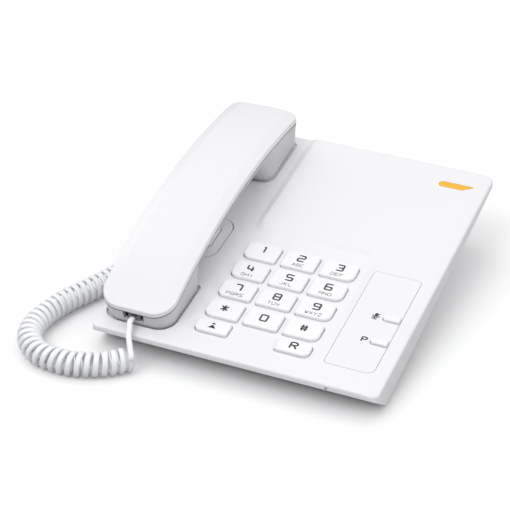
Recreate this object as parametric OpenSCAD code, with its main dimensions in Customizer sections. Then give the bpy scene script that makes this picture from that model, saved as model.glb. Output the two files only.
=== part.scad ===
// Corded desk telephone: a sloping base with a keypad and a side panel, a handset that lies in a
// cradle on the left, and a curly cord that joins the handset to the left side of the base.
// Origin: centre of the base's outline, on the surface that the feet stand on. +Z up, +Y to the back.

/* [Base] */
// Width of the base
base_w = 180; // [176:1:188]
// Depth of the base on the table
base_d = 210; // [208:1:216]
// Height of the deck's front edge above the table
front_h = 18; // [17.5:0.5:22]
// Slope of the deck in degrees
deck_tilt = 8; // [7.5:0.25:9]
// Height of the front lip
lip_h = 3.6; // [3:0.2:4.4]
// Height of the back lip
back_lip_h = 4.8; // [4.6:0.2:6]
// How far the underside is cut back below the front lip
undercut_d = 15.5; // [13:0.5:18]
// Thickness of the deck
deck_t = 4; // [3.8:0.1:4.6]
// Thickness of the side skirts
skirt_t = 2.4; // [2:0.1:3]
// Corner radius of the base seen from above
corner_r = 5; // [3:0.5:8]
// Width of the soft roll-off along each side edge
roll_w = 13; // [8:1:16]
// Radius of the soft roll-off
roll_r = 62; // [55:1:90]
// Wall thickness of the lower housing
tray_t = 2.2; // [1.8:0.1:2.6]
// Distance from the base's side to the lower housing where it meets the table
tray_margin = 28; // [25:1:31]
// Diameter of a rubber foot
foot_dia = 12; // [9:0.5:14]
// Height of a rubber foot below the lower housing
foot_h = 2.4; // [2:0.1:3]

/* [Deck layout] */
// Depth that the keypad and cradle lie below the raised plateau
step_h = 1.8; // [1.2:0.1:2.2]
// Distance up the slope to the foot of the plateau's front ramp
plateau_s = 114; // [110:1:120]
// Width of the ramp that leads up to the plateau
ramp_w = 4; // [3:0.25:4.5]
// Gap between the handset and the plateau's left edge
plateau_gap = 5.8; // [5:0.2:7]
// Gap between the keys and the side panel
panel_gap = 9.6; // [9:0.1:10.4]
// Length of the side panel
panel_len = 84; // [80:1:88]
// Distance from the base's right side to the side panel
panel_margin = 9; // [8:0.5:9.5]
// Distance up the slope to the side panel's front edge
panel_s = 17; // [15:0.5:20]
// Thickness of the side panel
panel_t = 1.6; // [1.2:0.1:2]
// Width of the indicator lens
lens_w = 21.5; // [18:0.5:23]
// Depth of the indicator lens along the slope
lens_d = 5.2; // [4:0.2:6]
// Distance from the base's right side to the lens
lens_margin = 9.4; // [9:0.2:12]
// Distance up the slope to the middle of the lens
lens_s = 194.2; // [188:0.2:196]

/* [Keys] */
// Spacing of the key columns
key_pitch_x = 25.2; // [24.4:0.2:25.6]
// Spacing of the key rows
key_pitch_s = 18.8; // [18.4:0.2:19.2]
// Width of a number key
key_w = 21.4; // [19:0.2:21.6]
// Depth of a number key
key_d = 14.6; // [13:0.2:14.8]
// Gap between the handset and the left column of keys
keypad_gap = 10.85; // [10.5:0.05:11.5]
// Distance up the slope to the lowest number row
keypad_s = 37.6; // [37:0.2:39]
// Width of the redial and flash keys
wide_key_w = 20.8; // [18:0.2:21.4]
// Depth of the redial and flash keys
wide_key_d = 10.4; // [9:0.2:11]
// Distance from the lowest number row to the redial and flash keys
wide_key_drop = 16; // [15.6:0.2:16.4]
// Width of the mute and pause keys
side_key_w = 10.4; // [9:0.2:11]
// Depth of the mute and pause keys
side_key_d = 4.6; // [4:0.2:5.2]
// Distance up the slope to the mute key
mute_s = 63.4; // [60:0.2:66]
// Distance up the slope to the pause key
pause_s = 42.6; // [40:0.2:45]
// Height of a key above the deck
key_rise = 2; // [1.4:0.1:2.6]
// Travel of a key
key_travel = 1.5; // [1:0.1:1.6]
// Clearance between a key and its hole
key_gap = 0.4; // [0.3:0.05:0.6]

/* [Hook] */
// Width of the raised island round the hook plunger
island_w = 36.4; // [34:0.2:38]
// Length of the island along the slope
island_len = 39; // [36:0.5:42]
// Height of the island above the cradle
island_h = 1.2; // [0.8:0.1:1.6]
// Width of the hook plunger
plunger_w = 23.4; // [20:0.2:25]
// Length of the hook plunger along the slope
plunger_len = 19.6; // [18:0.2:22]
// Distance up the slope to the middle of the plunger
plunger_s = 98; // [97:0.5:100]
// Rise of the plunger when the handset is lifted
plunger_travel = 3.5; // [3:0.25:3.5]

/* [Handset] */
// Length of the handset
handset_len = 197; // [194:0.5:200]
// Width of the handset
handset_w = 47; // [46:0.2:48]
// Distance from the base's left side to the handset
handset_margin = 1.75; // [1.5:0.05:2.5]
// Distance up the slope to the handset's mouth end
handset_s = 8; // [7.5:0.25:9]
// Corner radius at the mouth end
mouth_r = 13; // [10:0.5:15]
// Corner radius at the ear end
ear_r = 9.5; // [8:0.5:12]
// Height of the parting line at the top of the arch, above the deck
arch_h = 25.5; // [24.5:0.25:27]
// Distance up the slope to the top of the arch
arch_s = 120; // [116:1:124]
// Radius of the arch
arch_r = 370; // [360:5:400]
// Height of the top cover's side
cover_side_h = 4.2; // [3.6:0.1:4.8]
// Width of the sloped band along each side of the top cover
band_w = 6.3; // [5:0.1:7]
// Rise of the sloped band
band_rise = 1.9; // [1.4:0.1:2.2]
// Rise of the top from the band to the middle
crown_rise = 0.8; // [0.4:0.1:1.2]
// Wall thickness of both handset shells
handset_t = 2.2; // [1.8:0.1:2.4]
// Length of the mouth cup
mouth_cup_len = 47; // [45:0.5:49]
// Length of the ear cup
ear_cup_len = 47; // [45:0.5:49]
// Depth of the grip below the parting line
grip_t = 11.5; // [10:0.25:12.5]
// Depth of the cup bottoms below the deck
cup_depth = 2.9; // [2.4:0.1:3.1]
// Sideways draft of the cups from the parting line to the bottom
cup_draft = 1.5; // [1:0.1:2]

/* [Inner parts] */
// Diameter of the receiver
receiver_dia = 28; // [26:0.5:30]
// Diameter of the ringer
ringer_dia = 27; // [24:0.5:28]
// Length of the steel weight in the grip
weight_len = 56; // [44:1:60]

/* [Sockets] */
// Width of a handset cord plug
plug_w = 7.6; // [7.4:0.1:7.7]
// Height of a handset cord plug
plug_h = 5.6; // [5.4:0.1:5.8]
// Length of a handset cord plug
plug_len = 11.6; // [11:0.2:12.4]
// Width of the line socket's opening
line_w = 9.7; // [9.5:0.1:10]
// Height of the line socket's opening
line_h = 6.8; // [6.6:0.1:7]
// Depth of the line socket's opening
line_depth = 12; // [11:0.5:13]

/* [Fasteners] */
// Diameter of a housing screw
screw_dia = 2.9; // [2.5:0.1:3.1]
// Diameter of a housing screw's head
screw_head_dia = 5.6; // [5:0.1:6]

/* [Curly cord] */
// Outer diameter of the curls
coil_dia = 15; // [14:0.5:15]
// Width of the flat cord
cord_w = 3.3; // [2.8:0.1:3.4]
// Thickness of the flat cord
cord_t = 2.4; // [2:0.1:2.6]
// Number of curls
curls = 37; // [28:1:37]

/* [Hidden] */

// Colours
shell_white = [0.93, 0.93, 0.94];
key_white = [0.96, 0.96, 0.97];
cord_white = [0.9, 0.9, 0.91];
lens_orange = [0.98, 0.62, 0.08];
board_green = [0.1, 0.35, 0.2];
rubber_grey = [0.25, 0.25, 0.27];
black = [0.08, 0.08, 0.09];
steel = [0.6, 0.6, 0.62];

// Clearances
eps = 0.02;      // overlap of cutting solids past a face
fit_gap = 0.15;  // round an inlaid piece
rest_gap = 0.3;  // between pieces on different bodies that rest on each other
joint_gap = 0.3; // between the upper and lower housings

// Base, worked out in the plane of the deck: x across, s up the slope, n out of the deck
half_w = base_w / 2;
tray_w = base_w - 2 * tray_margin;
deck_len = base_d / cos(deck_tilt);
back_h = front_h + base_d * tan(deck_tilt);
skirt_low = foot_h;
skirt_flat = 6.5;    // length of the level stretch at the front of each skirt
skirt_s = undercut_d + skirt_flat;
skirt_slope = atan((back_h - back_lip_h - skirt_low) / (base_d - skirt_s));
ceiling_drop = deck_t / cos(deck_tilt);

// Handset, in the plane of the deck
handset_x = -half_w + handset_margin + handset_w / 2;
handset_half = handset_w / 2;
handset_end = handset_s + handset_len;
mouth_cup_end = handset_s + mouth_cup_len;
ear_cup_start = handset_end - ear_cup_len;
plateau_x = handset_x + handset_half + plateau_gap;
well_gap = 0.7;      // round a cup in its well
well_floor = -cup_depth - rest_gap;
well_tub_t = 2;      // thickness under a well

// From the handset to the right: the keys, then the side panel, which fills the rest
keypad_left = handset_x + handset_half + keypad_gap;
keypad_x = keypad_left + key_w / 2 + key_pitch_x;
keypad_right = keypad_x + key_pitch_x + key_w / 2;
recess_x = keypad_right + panel_gap - ramp_w - 0.6;
panel_left = keypad_right + panel_gap;
panel_right = half_w - panel_margin;
panel_w = panel_right - panel_left;
plateau_r = 8;       // corner radius at the foot of the plateau's ramp
recess_r = 11;       // corner radius of the keypad field at the foot of the ramp
label_size = [28, 9.6];
label_depth = 0.25;
front_hole_x = half_w - 30.6;

// Keys
key_flange = 1.2;    // how far a key's flange reaches past the key
key_flange_t = 1.2;
stem_r = 2;
stem_gap = 0.3;
mat_t = 1.2;
dome_h = 2;
dome_r = 5;
side_dome_r = 3.2;
mat_top = -deck_t - key_flange_t - key_travel - dome_h - 0.5;
mat_bottom = mat_top - mat_t;
board_t = 1.6;
board_bottom = mat_bottom - board_t;
side_key_x = panel_right - 0.3 - side_key_w / 2;
board_left = keypad_left - 10.5;
board_right = panel_right + 2;
board_narrow = tray_w / 2 + 4;   // right edge of the board's back part
board_front = 13;
board_step = 72;     // where the board gets narrower
board_back = keypad_s + 3 * key_pitch_s + key_d / 2 + 9;
post_r = 2.8;
board_posts = [
    [board_left + 4, 66], [board_left + 4, 101],
    [keypad_right + 5.3, 27], [keypad_right + 5.3, 92], [keypad_x, board_front + 4]
];

// Hook
plunger_flange = 1.4;
plunger_flange_t = 1.3;
plunger_flange_top = -deck_t - plunger_travel - 0.2;
switch_x = handset_x + 8;
switch_top = plunger_flange_top - plunger_flange_t - 1.2;
switch_size = [7, 13, 5];
hook_board_top = switch_top - switch_size[2];
hook_post_d = plunger_len / 2 + plunger_flange + post_r + 1.5;
hook_posts = [[switch_x, plunger_s - hook_post_d], [switch_x, plunger_s + hook_post_d]];

// Screws that join the housings
screw_r = screw_dia / 2;
tray_back = base_d - 7;     // distance from the front edge to the rear wall
screw_x = tray_w / 2 - 10;
screw_posts = [
    [-screw_x, undercut_d + 29.5], [screw_x + 3, undercut_d + 29.5],
    [-screw_x, tray_back - 31], [screw_x, tray_back - 31]
];
screw_seat = foot_h + 7;    // height of the screw head's seat
screw_len = 13;
boss_r = 3.8;
sleeve_r = 5;
boss_hole_r = 6.2;   // round a boss in the board and the mat

// Sockets
cord_jack_y = -5;
cord_jack_s = (cord_jack_y + base_d / 2) / cos(deck_tilt);
cord_jack_wall = 0.85;
cord_jack_back = 3;
cord_jack_h = plug_h + 0.3 + 2 * cord_jack_wall;
cord_jack_top = front_h + (cord_jack_y - 5 + base_d / 2) * tan(deck_tilt) - ceiling_drop;
cord_jack_z = cord_jack_top - cord_jack_h / 2 - 0.1;
plug_out = 5;        // how far the base plug stands out of the skirt
cord_jack_hole = plug_len - plug_out - skirt_t + 0.4;
base_stub = 1.5;     // cord that shows behind the base plug
handset_plug_s = handset_s + 1.8;
handset_plug_n = 5.7;
handset_stub = 2.4;  // brings the cord clear of the handset's end
line_jack_x = 20;
line_jack_z = 16;
line_wall = 1.6;
line_jack_top = line_jack_z + line_h / 2 + line_wall;
line_jack_low = line_jack_z - line_h / 2 - line_wall;

// Lower housing
strip_back = base_d - 27;  // where the closing strip runs out under the deck
tray_spread = 0.565;       // sideways spread of the tray for each millimetre of height
foot_x = tray_w / 2 - 10;
foot_spots = [
    [-foot_x, undercut_d + 10.5], [foot_x, undercut_d + 10.5],
    [-foot_x, tray_back - 11], [foot_x, tray_back - 11]
];
foot_recess = 0.8;
ringer_at = [-28, 20];

// Route of the curly cord's middle line over the table, hand chosen
coil_route = [
    [-60, -115], [-66, -121], [-73, -126], [-82, -130], [-91, -132], [-100, -132],
    [-110.5, -130], [-119, -124], [-125, -115.5], [-127, -105], [-126.5, -95], [-124.5, -85],
    [-121.5, -75.5], [-117.5, -66.5], [-113.5, -57.5], [-110, -49], [-106.5, -40.5],
    [-104, -32.5], [-102, -25], [-100.5, -18]
];
coil_r = coil_dia / 2 - cord_t / 2;
coil_z = coil_dia / 2 + 0.1;
curl_rings = 8;
lead_straight = 3.4;       // straight stretch at each end of a wound or free lead

// ---------------------------------------------------------------- placing

// From the plane of the deck to the table's frame
module on_deck() {
    translate([0, -base_d / 2, front_h]) rotate([deck_tilt, 0, 0]) children();
}

function deck_point(p) = [
    p[0],
    -base_d / 2 + p[1] * cos(deck_tilt) - p[2] * sin(deck_tilt),
    front_h + p[1] * sin(deck_tilt) + p[2] * cos(deck_tilt)
];

// ---------------------------------------------------------------- shared shapes

// Block with its x and y middle at the origin, its bottom at z
module block(size, z = 0) {
    translate([-size[0] / 2, -size[1] / 2, z]) cube(size);
}

// Rectangle with one radius for its corners, or four: front left, front right, back right, back left
module round_rect(w, d, r) {
    rr = is_list(r) ? r : [r, r, r, r];
    sx = [-1, 1, 1, -1];
    sy = [-1, -1, 1, 1];
    difference() {
        square([w, d], center = true);
        for (i = [0:3])
            translate([sx[i] * w / 2, sy[i] * d / 2])
                square(2 * rr[i], center = true);
    }
    for (i = [0:3])
        translate([sx[i] * (w / 2 - rr[i]), sy[i] * (d / 2 - rr[i])])
            circle(rr[i], $fn = 32);
}

// ---------------------------------------------------------------- upper housing

// Side profile of the base in y and z, with the y origin at the front edge
module base_profile() {
    polygon([
        [0.5, front_h + 0.1], [0, front_h - 0.5], [0, front_h - lip_h],
        [undercut_d, skirt_low], [skirt_s, skirt_low],
        [base_d, back_h - back_lip_h], [base_d, back_h - 0.6], [base_d - 0.6, back_h - 0.05]
    ]);
}

module across(w) {
    translate([-w / 2, -base_d / 2, 0]) rotate([90, 0, 90]) linear_extrude(w) children();
}

// Cross-section of the deck: flat in the middle, rolled off towards both sides
module deck_section() {
    flat_half = half_w - roll_w;
    low = back_h + 10;
    intersection() {
        translate([-half_w - 1, -low]) square([base_w + 2, low]);
        union() {
            translate([-half_w - 1, -low]) square([half_w + 1 + flat_half, low]);
            translate([flat_half, -roll_r]) circle(roll_r, $fn = 180);
        }
        union() {
            translate([-flat_half, -low]) square([half_w + 1 + flat_half, low]);
            translate([-flat_half, -roll_r]) circle(roll_r, $fn = 180);
        }
    }
}

module base_outline() {
    translate([0, deck_len / 2]) round_rect(base_w, deck_len, corner_r);
}

// Border of the lowered cradle and keypad field, a distance up the ramp that goes round the plateau
function field_edge(d) = concat(
    [[-half_w - 1, -1], [recess_x + d, -1]],
    [for (i = [0:10]) let (a = 9 * i, r = recess_r + d)
        [recess_x - recess_r + r * cos(a), plateau_s - recess_r + r * sin(a)]],
    [for (i = [0:8]) let (a = 270 - 90 * i / 8, r = plateau_r - d)
        [plateau_x + plateau_r + r * cos(a), plateau_s + plateau_r + r * sin(a)]],
    [[plateau_x + d, deck_len + 1], [-half_w - 1, deck_len + 1]]
);

// The field as a body that widens upwards with the ramp
module field_body() {
    low = -step_h - 1;
    high = 0.5;
    n = len(field_edge(0));
    levels = [low, high];
    middle = [plateau_x - 10, 50];
    points = [for (z = levels) each concat(
        [for (p = field_edge((z + step_h) * ramp_w / step_h)) [p[0], p[1], z]],
        [[middle[0], middle[1], z]])];
    faces = [for (i = [0:n - 1]) let (j = (i + 1) % n, up = n + 1)
        each [[n, i, j], [up + n, up + j, up + i], [i, up + i, up + j], [i, up + j, j]]];
    polyhedron(points = points, faces = faces, convexity = 6);
}

// What lies above the lowered field, which starts at nothing at the front edge
module step_cut() {
    intersection() {
        translate([-half_w - 1, 0, 0]) rotate([90, 0, 90])
            linear_extrude(base_w + 2)
                polygon([[-1, 0], [0, 0], [plateau_s, -step_h], [deck_len + 1, -step_h],
                         [deck_len + 1, 5], [-1, 5]]);
        field_body();
    }
}

function step_depth(s) = step_h * min(1, s / plateau_s);

module cup_outline(cup_s, cup_len, r, grow) {
    w = handset_w - 2 * cup_draft + 2 * grow;
    d = cup_len - 2 * cup_draft + 2 * grow;
    translate([handset_x, cup_s + cup_len / 2]) round_rect(w, d, r);
}

module cup_wells(grow, depth, height) {
    translate([0, 0, depth]) linear_extrude(height) {
        cup_outline(handset_s, mouth_cup_len, [11, 11, 3, 3], grow);
        cup_outline(ear_cup_start, ear_cup_len, [4, 4, 8, 8], grow);
    }
}

// Outline of one key at the origin: a corner radius for each corner
module key_outline(kind, grow = 0) {
    small = max(0.3, 1.6 + grow);
    big = 5 + grow;
    side_r = max(0.3, 0.5 + grow);
    if (kind == "left") round_rect(key_w + 2 * grow, key_d + 2 * grow, [big, small, small, 3 + grow]);
    if (kind == "middle") round_rect(key_w + 2 * grow, key_d + 2 * grow, small);
    if (kind == "right") round_rect(key_w + 2 * grow, key_d + 2 * grow, [small, big, 3 + grow, small]);
    if (kind == "wide_left")
        round_rect(wide_key_w + 2 * grow, wide_key_d + 2 * grow, [big - 1, small, small, big - 2]);
    if (kind == "wide_right")
        round_rect(wide_key_w + 2 * grow, wide_key_d + 2 * grow, [small, big - 1, big - 2, small]);
    if (kind == "side")
        round_rect(side_key_w + 2 * grow, side_key_d + 2 * grow,
                   [side_key_d / 2 - 0.3 + grow, side_r, side_r, side_key_d / 2 - 0.3 + grow]);
}

// Place of a key in the plane of the deck, from its column and row
function grid_key(col, row) = [keypad_x + col * key_pitch_x, keypad_s + row * key_pitch_s];
wide_key_s = keypad_s - wide_key_drop;
keys = [
    ["left", grid_key(-1, 3)], ["middle", grid_key(0, 3)], ["right", grid_key(1, 3)],
    ["left", grid_key(-1, 2)], ["middle", grid_key(0, 2)], ["right", grid_key(1, 2)],
    ["left", grid_key(-1, 1)], ["middle", grid_key(0, 1)], ["right", grid_key(1, 1)],
    ["left", grid_key(-1, 0)], ["middle", grid_key(0, 0)], ["right", grid_key(1, 0)],
    ["wide_left", [keypad_x - key_pitch_x + (wide_key_w - key_w) / 2, wide_key_s]],
    ["wide_right", [keypad_x + key_pitch_x + (key_w - wide_key_w) / 2, wide_key_s]],
    ["side", [side_key_x, mute_s]], ["side", [side_key_x, pause_s]]
];

module key_holes() {
    for (k = keys)
        translate([k[1][0], k[1][1], -deck_t - 1])
            linear_extrude(deck_t + 3) key_outline(k[0], key_gap);
}

module panel_outline(grow = 0) {
    translate([panel_left + panel_w / 2, panel_s + panel_len / 2])
        round_rect(panel_w + 2 * grow, panel_len + 2 * grow,
                   [2.5 + grow, 5 + grow, 2.5 + grow, 2.5 + grow]);
}

lens_right = half_w - lens_margin;
lens_left = lens_right - lens_w;

// Bar with a round left end and a right end cut on a slant
module lens_outline(grow = 0) {
    r = lens_d / 2 + grow;
    tip = 5.8;
    translate([lens_left + lens_d / 2, lens_s]) circle(r, $fn = 32);
    polygon([
        [lens_left + lens_d / 2, lens_s - r], [lens_right - tip, lens_s - r],
        [lens_right + grow, lens_s + lens_d / 3], [lens_right + grow, lens_s + r],
        [lens_left + lens_d / 2, lens_s + r]
    ]);
}

module island_outline() {
    translate([handset_x, plunger_s]) round_rect(island_w, island_len, 9);
}

module plunger_outline(grow = 0) {
    translate([handset_x, plunger_s])
        round_rect(plunger_w + 2 * grow, plunger_len + 2 * grow, 2.5 + grow);
}

led_r = 2.5;
led_x = lens_left + lens_w / 2;
lens_t = 1.6;

module upper_housing() {
    skirt_inner = base_w - 2 * skirt_t;
    color(shell_white) difference() {
        union() {
            difference() {
                // Outer form with its skirts
                intersection() {
                    across(base_w + 2) base_profile();
                    on_deck() translate([0, deck_len + 1, 0]) rotate([90, 0, 0])
                        linear_extrude(deck_len + 2) deck_section();
                    on_deck() translate([0, 0, -60]) linear_extrude(70) base_outline();
                }
                // Hollow between the skirts
                on_deck() translate([0, deck_len / 2, -60 - deck_t])
                    linear_extrude(60) round_rect(skirt_inner, deck_len + 60, 1);
                on_deck() step_cut();
            }
            on_deck() {
                // Tubs under the cup wells and the raised island
                cup_wells(well_gap + well_tub_t, well_floor - well_tub_t, deck_t - 3);
                translate([0, 0, -deck_t]) linear_extrude(deck_t - step_depth(plunger_s) + island_h)
                    island_outline();
                // Posts for the boards
                for (p = board_posts)
                    translate([p[0], p[1], board_bottom + board_t])
                        cylinder(r = post_r, h = -deck_t - board_bottom - board_t + eps, $fn = 32);
                for (p = hook_posts)
                    translate([p[0], p[1], hook_board_top])
                        cylinder(r = post_r, h = -deck_t - hook_board_top + eps, $fn = 32);
                // Collar that holds the indicator lamp
                translate([led_x, lens_s, -deck_t - 5])
                    cylinder(r = led_r + 1.6, h = 5 + eps, $fn = 32);
            }
            // Bosses for the housing screws
            for (p = screw_posts)
                translate([p[0], p[1] - base_d / 2, screw_seat + 2.4]) {
                    top = front_h + p[1] * tan(deck_tilt) - ceiling_drop;
                    cylinder(r = boss_r, h = top - screw_seat - 2.4 + 1, $fn = 40);
                }
            // Rib that holds the line socket down
            translate([line_jack_x - 7, tray_back - base_d / 2 - 11, line_jack_top + 0.1])
                cube([14, 2, ceiling_at(tray_back - 11) - line_jack_top + 1]);
        }
        on_deck() {
            cup_wells(well_gap, well_floor, 10);
            key_holes();
            translate([0, 0, -panel_t]) linear_extrude(5) panel_outline(fit_gap);
            translate([0, 0, -lens_t]) linear_extrude(5) lens_outline(fit_gap);
            translate([led_x, lens_s, -20]) cylinder(r = led_r + 0.1, h = 25, $fn = 32);
            translate([0, 0, -20]) linear_extrude(30) plunger_outline(0.35);
            for (p = board_posts)
                translate([p[0], p[1], board_bottom - 1])
                    cylinder(r = 1.08, h = -board_bottom - 2.6, $fn = 24);
            for (p = hook_posts)
                translate([p[0], p[1], hook_board_top - 1])
                    cylinder(r = 1.08, h = 9, $fn = 24);
        }
        for (p = screw_posts)
            translate([p[0], p[1] - base_d / 2, screw_seat])
                cylinder(r = screw_r + 0.03, h = screw_len - 1.5, $fn = 32);
        // Shallow bed for a label between the redial and flash keys
        on_deck() translate([keypad_x, wide_key_s, 0])
            block([label_size[0], label_size[1], 5], -step_depth(wide_key_s) - label_depth);
        // Small hole in the front lip
        translate([front_hole_x, -base_d / 2 - 1, front_h - lip_h * 0.72])
            rotate([-90, 0, 0]) cylinder(r = 0.75, h = 2.6, $fn = 24);
        // Opening for the cord socket in the left skirt
        translate([-half_w - 1, cord_jack_y - plug_w / 2 - 0.15, cord_jack_z - plug_h / 2 - 0.15])
            cube([skirt_t + 1.5, plug_w + 0.3, plug_h + 0.3]);
    }
}

// ---------------------------------------------------------------- lower housing

// Height of the skirts' lower edge at a distance from the front
function skirt_edge(u) = u < undercut_d
    ? front_h - lip_h - u * (front_h - lip_h - skirt_low) / undercut_d
    : skirt_low + max(0, u - skirt_s) * tan(skirt_slope);

// Strip that closes the underside between the skirts, in y and z from the front edge
module closing_strip() {
    lift = 0.3;
    thick = tray_t / cos(skirt_slope);
    front_u = 1.2;
    polygon([
        [front_u, ceiling_at(front_u) - eps],
        [front_u, skirt_edge(front_u) + lift],
        [undercut_d + 0.4, skirt_low + lift], [skirt_s, skirt_low + lift],
        [strip_back, skirt_edge(strip_back) + lift],
        [strip_back, min(skirt_edge(strip_back) + lift + thick, ceiling_at(strip_back) - 0.1)],
        [skirt_s, skirt_low + lift + thick], [undercut_d + 1.6, skirt_low + lift + thick],
        [front_u + 2.6, ceiling_at(front_u + 2.6) - 0.1]
    ]);
}

function ceiling_at(u) = front_h + u * tan(deck_tilt) - ceiling_drop;

// Front view of the pedestal: wider towards the top
module pedestal_front(inset) {
    low = tray_w / 2 - inset;
    high = min(low + 50 * tray_spread, half_w - skirt_t - 0.4 - inset);
    climb = (high - low) / tray_spread;
    polygon([
        [-low, skirt_low], [low, skirt_low], [high, skirt_low + climb], [high, 60],
        [-high, 60], [-high, skirt_low + climb]
    ]);
}

module pedestal_solid(inset, bottom) {
    intersection() {
        translate([0, base_d / 2 + 1, 0]) rotate([90, 0, 0])
            linear_extrude(base_d + 2) pedestal_front(inset);
        across(base_w) polygon([
            [undercut_d + 2 + inset, bottom], [tray_back - inset, bottom],
            [tray_back - inset, ceiling_at(tray_back - inset) - 0.1 + (inset > 0 ? 2 : 0)],
            [undercut_d + 2 + inset, ceiling_at(undercut_d + 2 + inset) - 0.1 + (inset > 0 ? 2 : 0)]
        ]);
    }
}

// The pedestal below the closing strip
module pedestal(inset, bottom) {
    intersection() {
        pedestal_solid(inset, bottom);
        across(base_w) polygon([
            [0, 0], [tray_back + 1, 0], [tray_back + 1, ceiling_at(tray_back) - 0.1],
            [strip_back, ceiling_at(strip_back) - 0.1],
            [strip_back, skirt_edge(strip_back) + 2.4],
            [skirt_s, skirt_low + 2.4], [0, skirt_low + 2.4]
        ]);
    }
}

module lower_housing() {
    inner_w = base_w - 2 * skirt_t - 2 * joint_gap;
    color(shell_white) difference() {
        union() {
            across(inner_w) closing_strip();
            pedestal(0, skirt_low);
        }
        // Inside of the pedestal, open to the housing above
        difference() {
            pedestal_solid(tray_t, skirt_low + tray_t);
            for (p = screw_posts)
                translate([p[0], p[1] - base_d / 2, 0])
                    cylinder(r = sleeve_r, h = screw_seat + 2.2, $fn = 40);
            // Seat for the line socket
            translate([line_jack_x, tray_back - base_d / 2, 0])
                translate([-8, -13, 0]) cube([16, 13, line_jack_low - 0.05]);
            // Seat for the ringer
            translate([ringer_at[0], ringer_at[1], 0]) difference() {
                cylinder(d = ringer_dia + 3.8, h = skirt_low + tray_t + 3, $fn = 64);
                translate([0, 0, -1]) cylinder(d = ringer_dia + 0.2, h = 20, $fn = 64);
            }
        }
        for (p = screw_posts)
            translate([p[0], p[1] - base_d / 2, 0]) {
                cylinder(r = screw_r + 0.25, h = 20, $fn = 32);
                cylinder(r = screw_head_dia / 2 + 0.4, h = screw_seat, $fn = 32);
            }
        for (p = foot_spots)
            translate([p[0], p[1] - base_d / 2, 0])
                cylinder(r = foot_dia / 2 + 0.1, h = skirt_low + foot_recess, $fn = 40);
        // Sound slots below the ringer
        for (i = [-3:3])
            translate([ringer_at[0] + ringer_dia / 9 * i, ringer_at[1], 0])
                block([1.4, ringer_dia / 2, 20]);
        // Opening for the line socket in the rear wall
        translate([line_jack_x - line_w / 2 - 0.2, tray_back - base_d / 2 - tray_t - 1,
                   line_jack_z - line_h / 2 - 0.2])
            cube([line_w + 0.4, tray_t + 3, line_h + 0.4]);
        // Room for the tubs under the cup wells
        on_deck() cup_wells(well_gap + well_tub_t + joint_gap, well_floor - well_tub_t - joint_gap, 20);
        // Notch for the cord socket
        translate([-half_w, cord_jack_y - plug_w / 2 - 1.4, cord_jack_z - cord_jack_h / 2 - 6])
            cube([skirt_t + cord_jack_hole + cord_jack_back + 0.5, plug_w + 2.8, 20]);
    }
}

module rubber_feet() {
    color(rubber_grey) for (p = foot_spots)
        translate([p[0], p[1] - base_d / 2, 0]) {
            translate([0, 0, 0.6])
                cylinder(r = foot_dia / 2, h = skirt_low + foot_recess - 0.6, $fn = 40);
            cylinder(r1 = foot_dia / 2 - 0.6, r2 = foot_dia / 2, h = 0.6, $fn = 40);
        }
}

module screw(r, len, head_r, head_h) {
    translate([0, 0, -head_h]) cylinder(r = head_r, h = head_h, $fn = 32);
    translate([0, 0, -eps]) cylinder(r = r, h = len, $fn = 32);
}

module housing_screws() {
    color(steel) for (p = screw_posts)
        translate([p[0], p[1] - base_d / 2, screw_seat])
            screw(screw_r, screw_len - 2, screw_head_dia / 2, 2);
}

// ---------------------------------------------------------------- deck fittings

module side_panel() {
    color(shell_white) on_deck() difference() {
        translate([0, 0, -panel_t + 0.03]) linear_extrude(panel_t) panel_outline();
        for (k = [keys[14], keys[15]])
            translate([k[1][0], k[1][1], -5]) linear_extrude(10) key_outline("side", key_gap);
    }
}

module indicator_lens() {
    color(lens_orange) on_deck()
        translate([0, 0, -lens_t + 0.03]) linear_extrude(lens_t + 0.2) lens_outline();
}

module indicator_led() {
    color(lens_orange) on_deck() translate([led_x, lens_s, 0]) {
        translate([0, 0, -deck_t - 5]) cylinder(r = led_r, h = deck_t + 5 - lens_t - led_r - 0.3, $fn = 32);
        translate([0, 0, -lens_t - led_r - 0.3]) sphere(led_r, $fn = 32);
        translate([0, 0, -deck_t - 6.2]) cylinder(r = led_r + 0.5, h = 1.2, $fn = 32);
    }
}

// ---------------------------------------------------------------- keys

module key_body(kind, at) {
    flange_top = -deck_t - 0.1;
    top_chamfer = 0.6;
    color(key_white) on_deck() translate([at[0], at[1], 0]) {
        top = key_rise - (kind == "side" ? 0.4 : step_depth(at[1]));
        difference() {
            hull() {
                translate([0, 0, flange_top]) linear_extrude(top - top_chamfer - flange_top)
                    key_outline(kind);
                translate([0, 0, top - 0.1]) linear_extrude(0.1) key_outline(kind, -top_chamfer);
            }
            // Hollow underside
            translate([0, 0, flange_top - key_flange_t - 1])
                linear_extrude(key_flange_t + 1 + deck_t - 1.2) key_outline(kind, -1.4);
        }
        // Flange that keeps the key in the housing
        translate([0, 0, flange_top - key_flange_t]) linear_extrude(key_flange_t) difference() {
            key_outline(kind, kind == "side" ? 0.9 : key_flange);
            key_outline(kind, -1.4);
        }
        // Stem that presses the contact dome
        translate([0, 0, mat_bottom + key_travel + 0.2])
            cylinder(r = kind == "side" ? 1.1 : stem_r, h = top - 1.5 - mat_bottom - key_travel, $fn = 24);
    }
}

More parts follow.
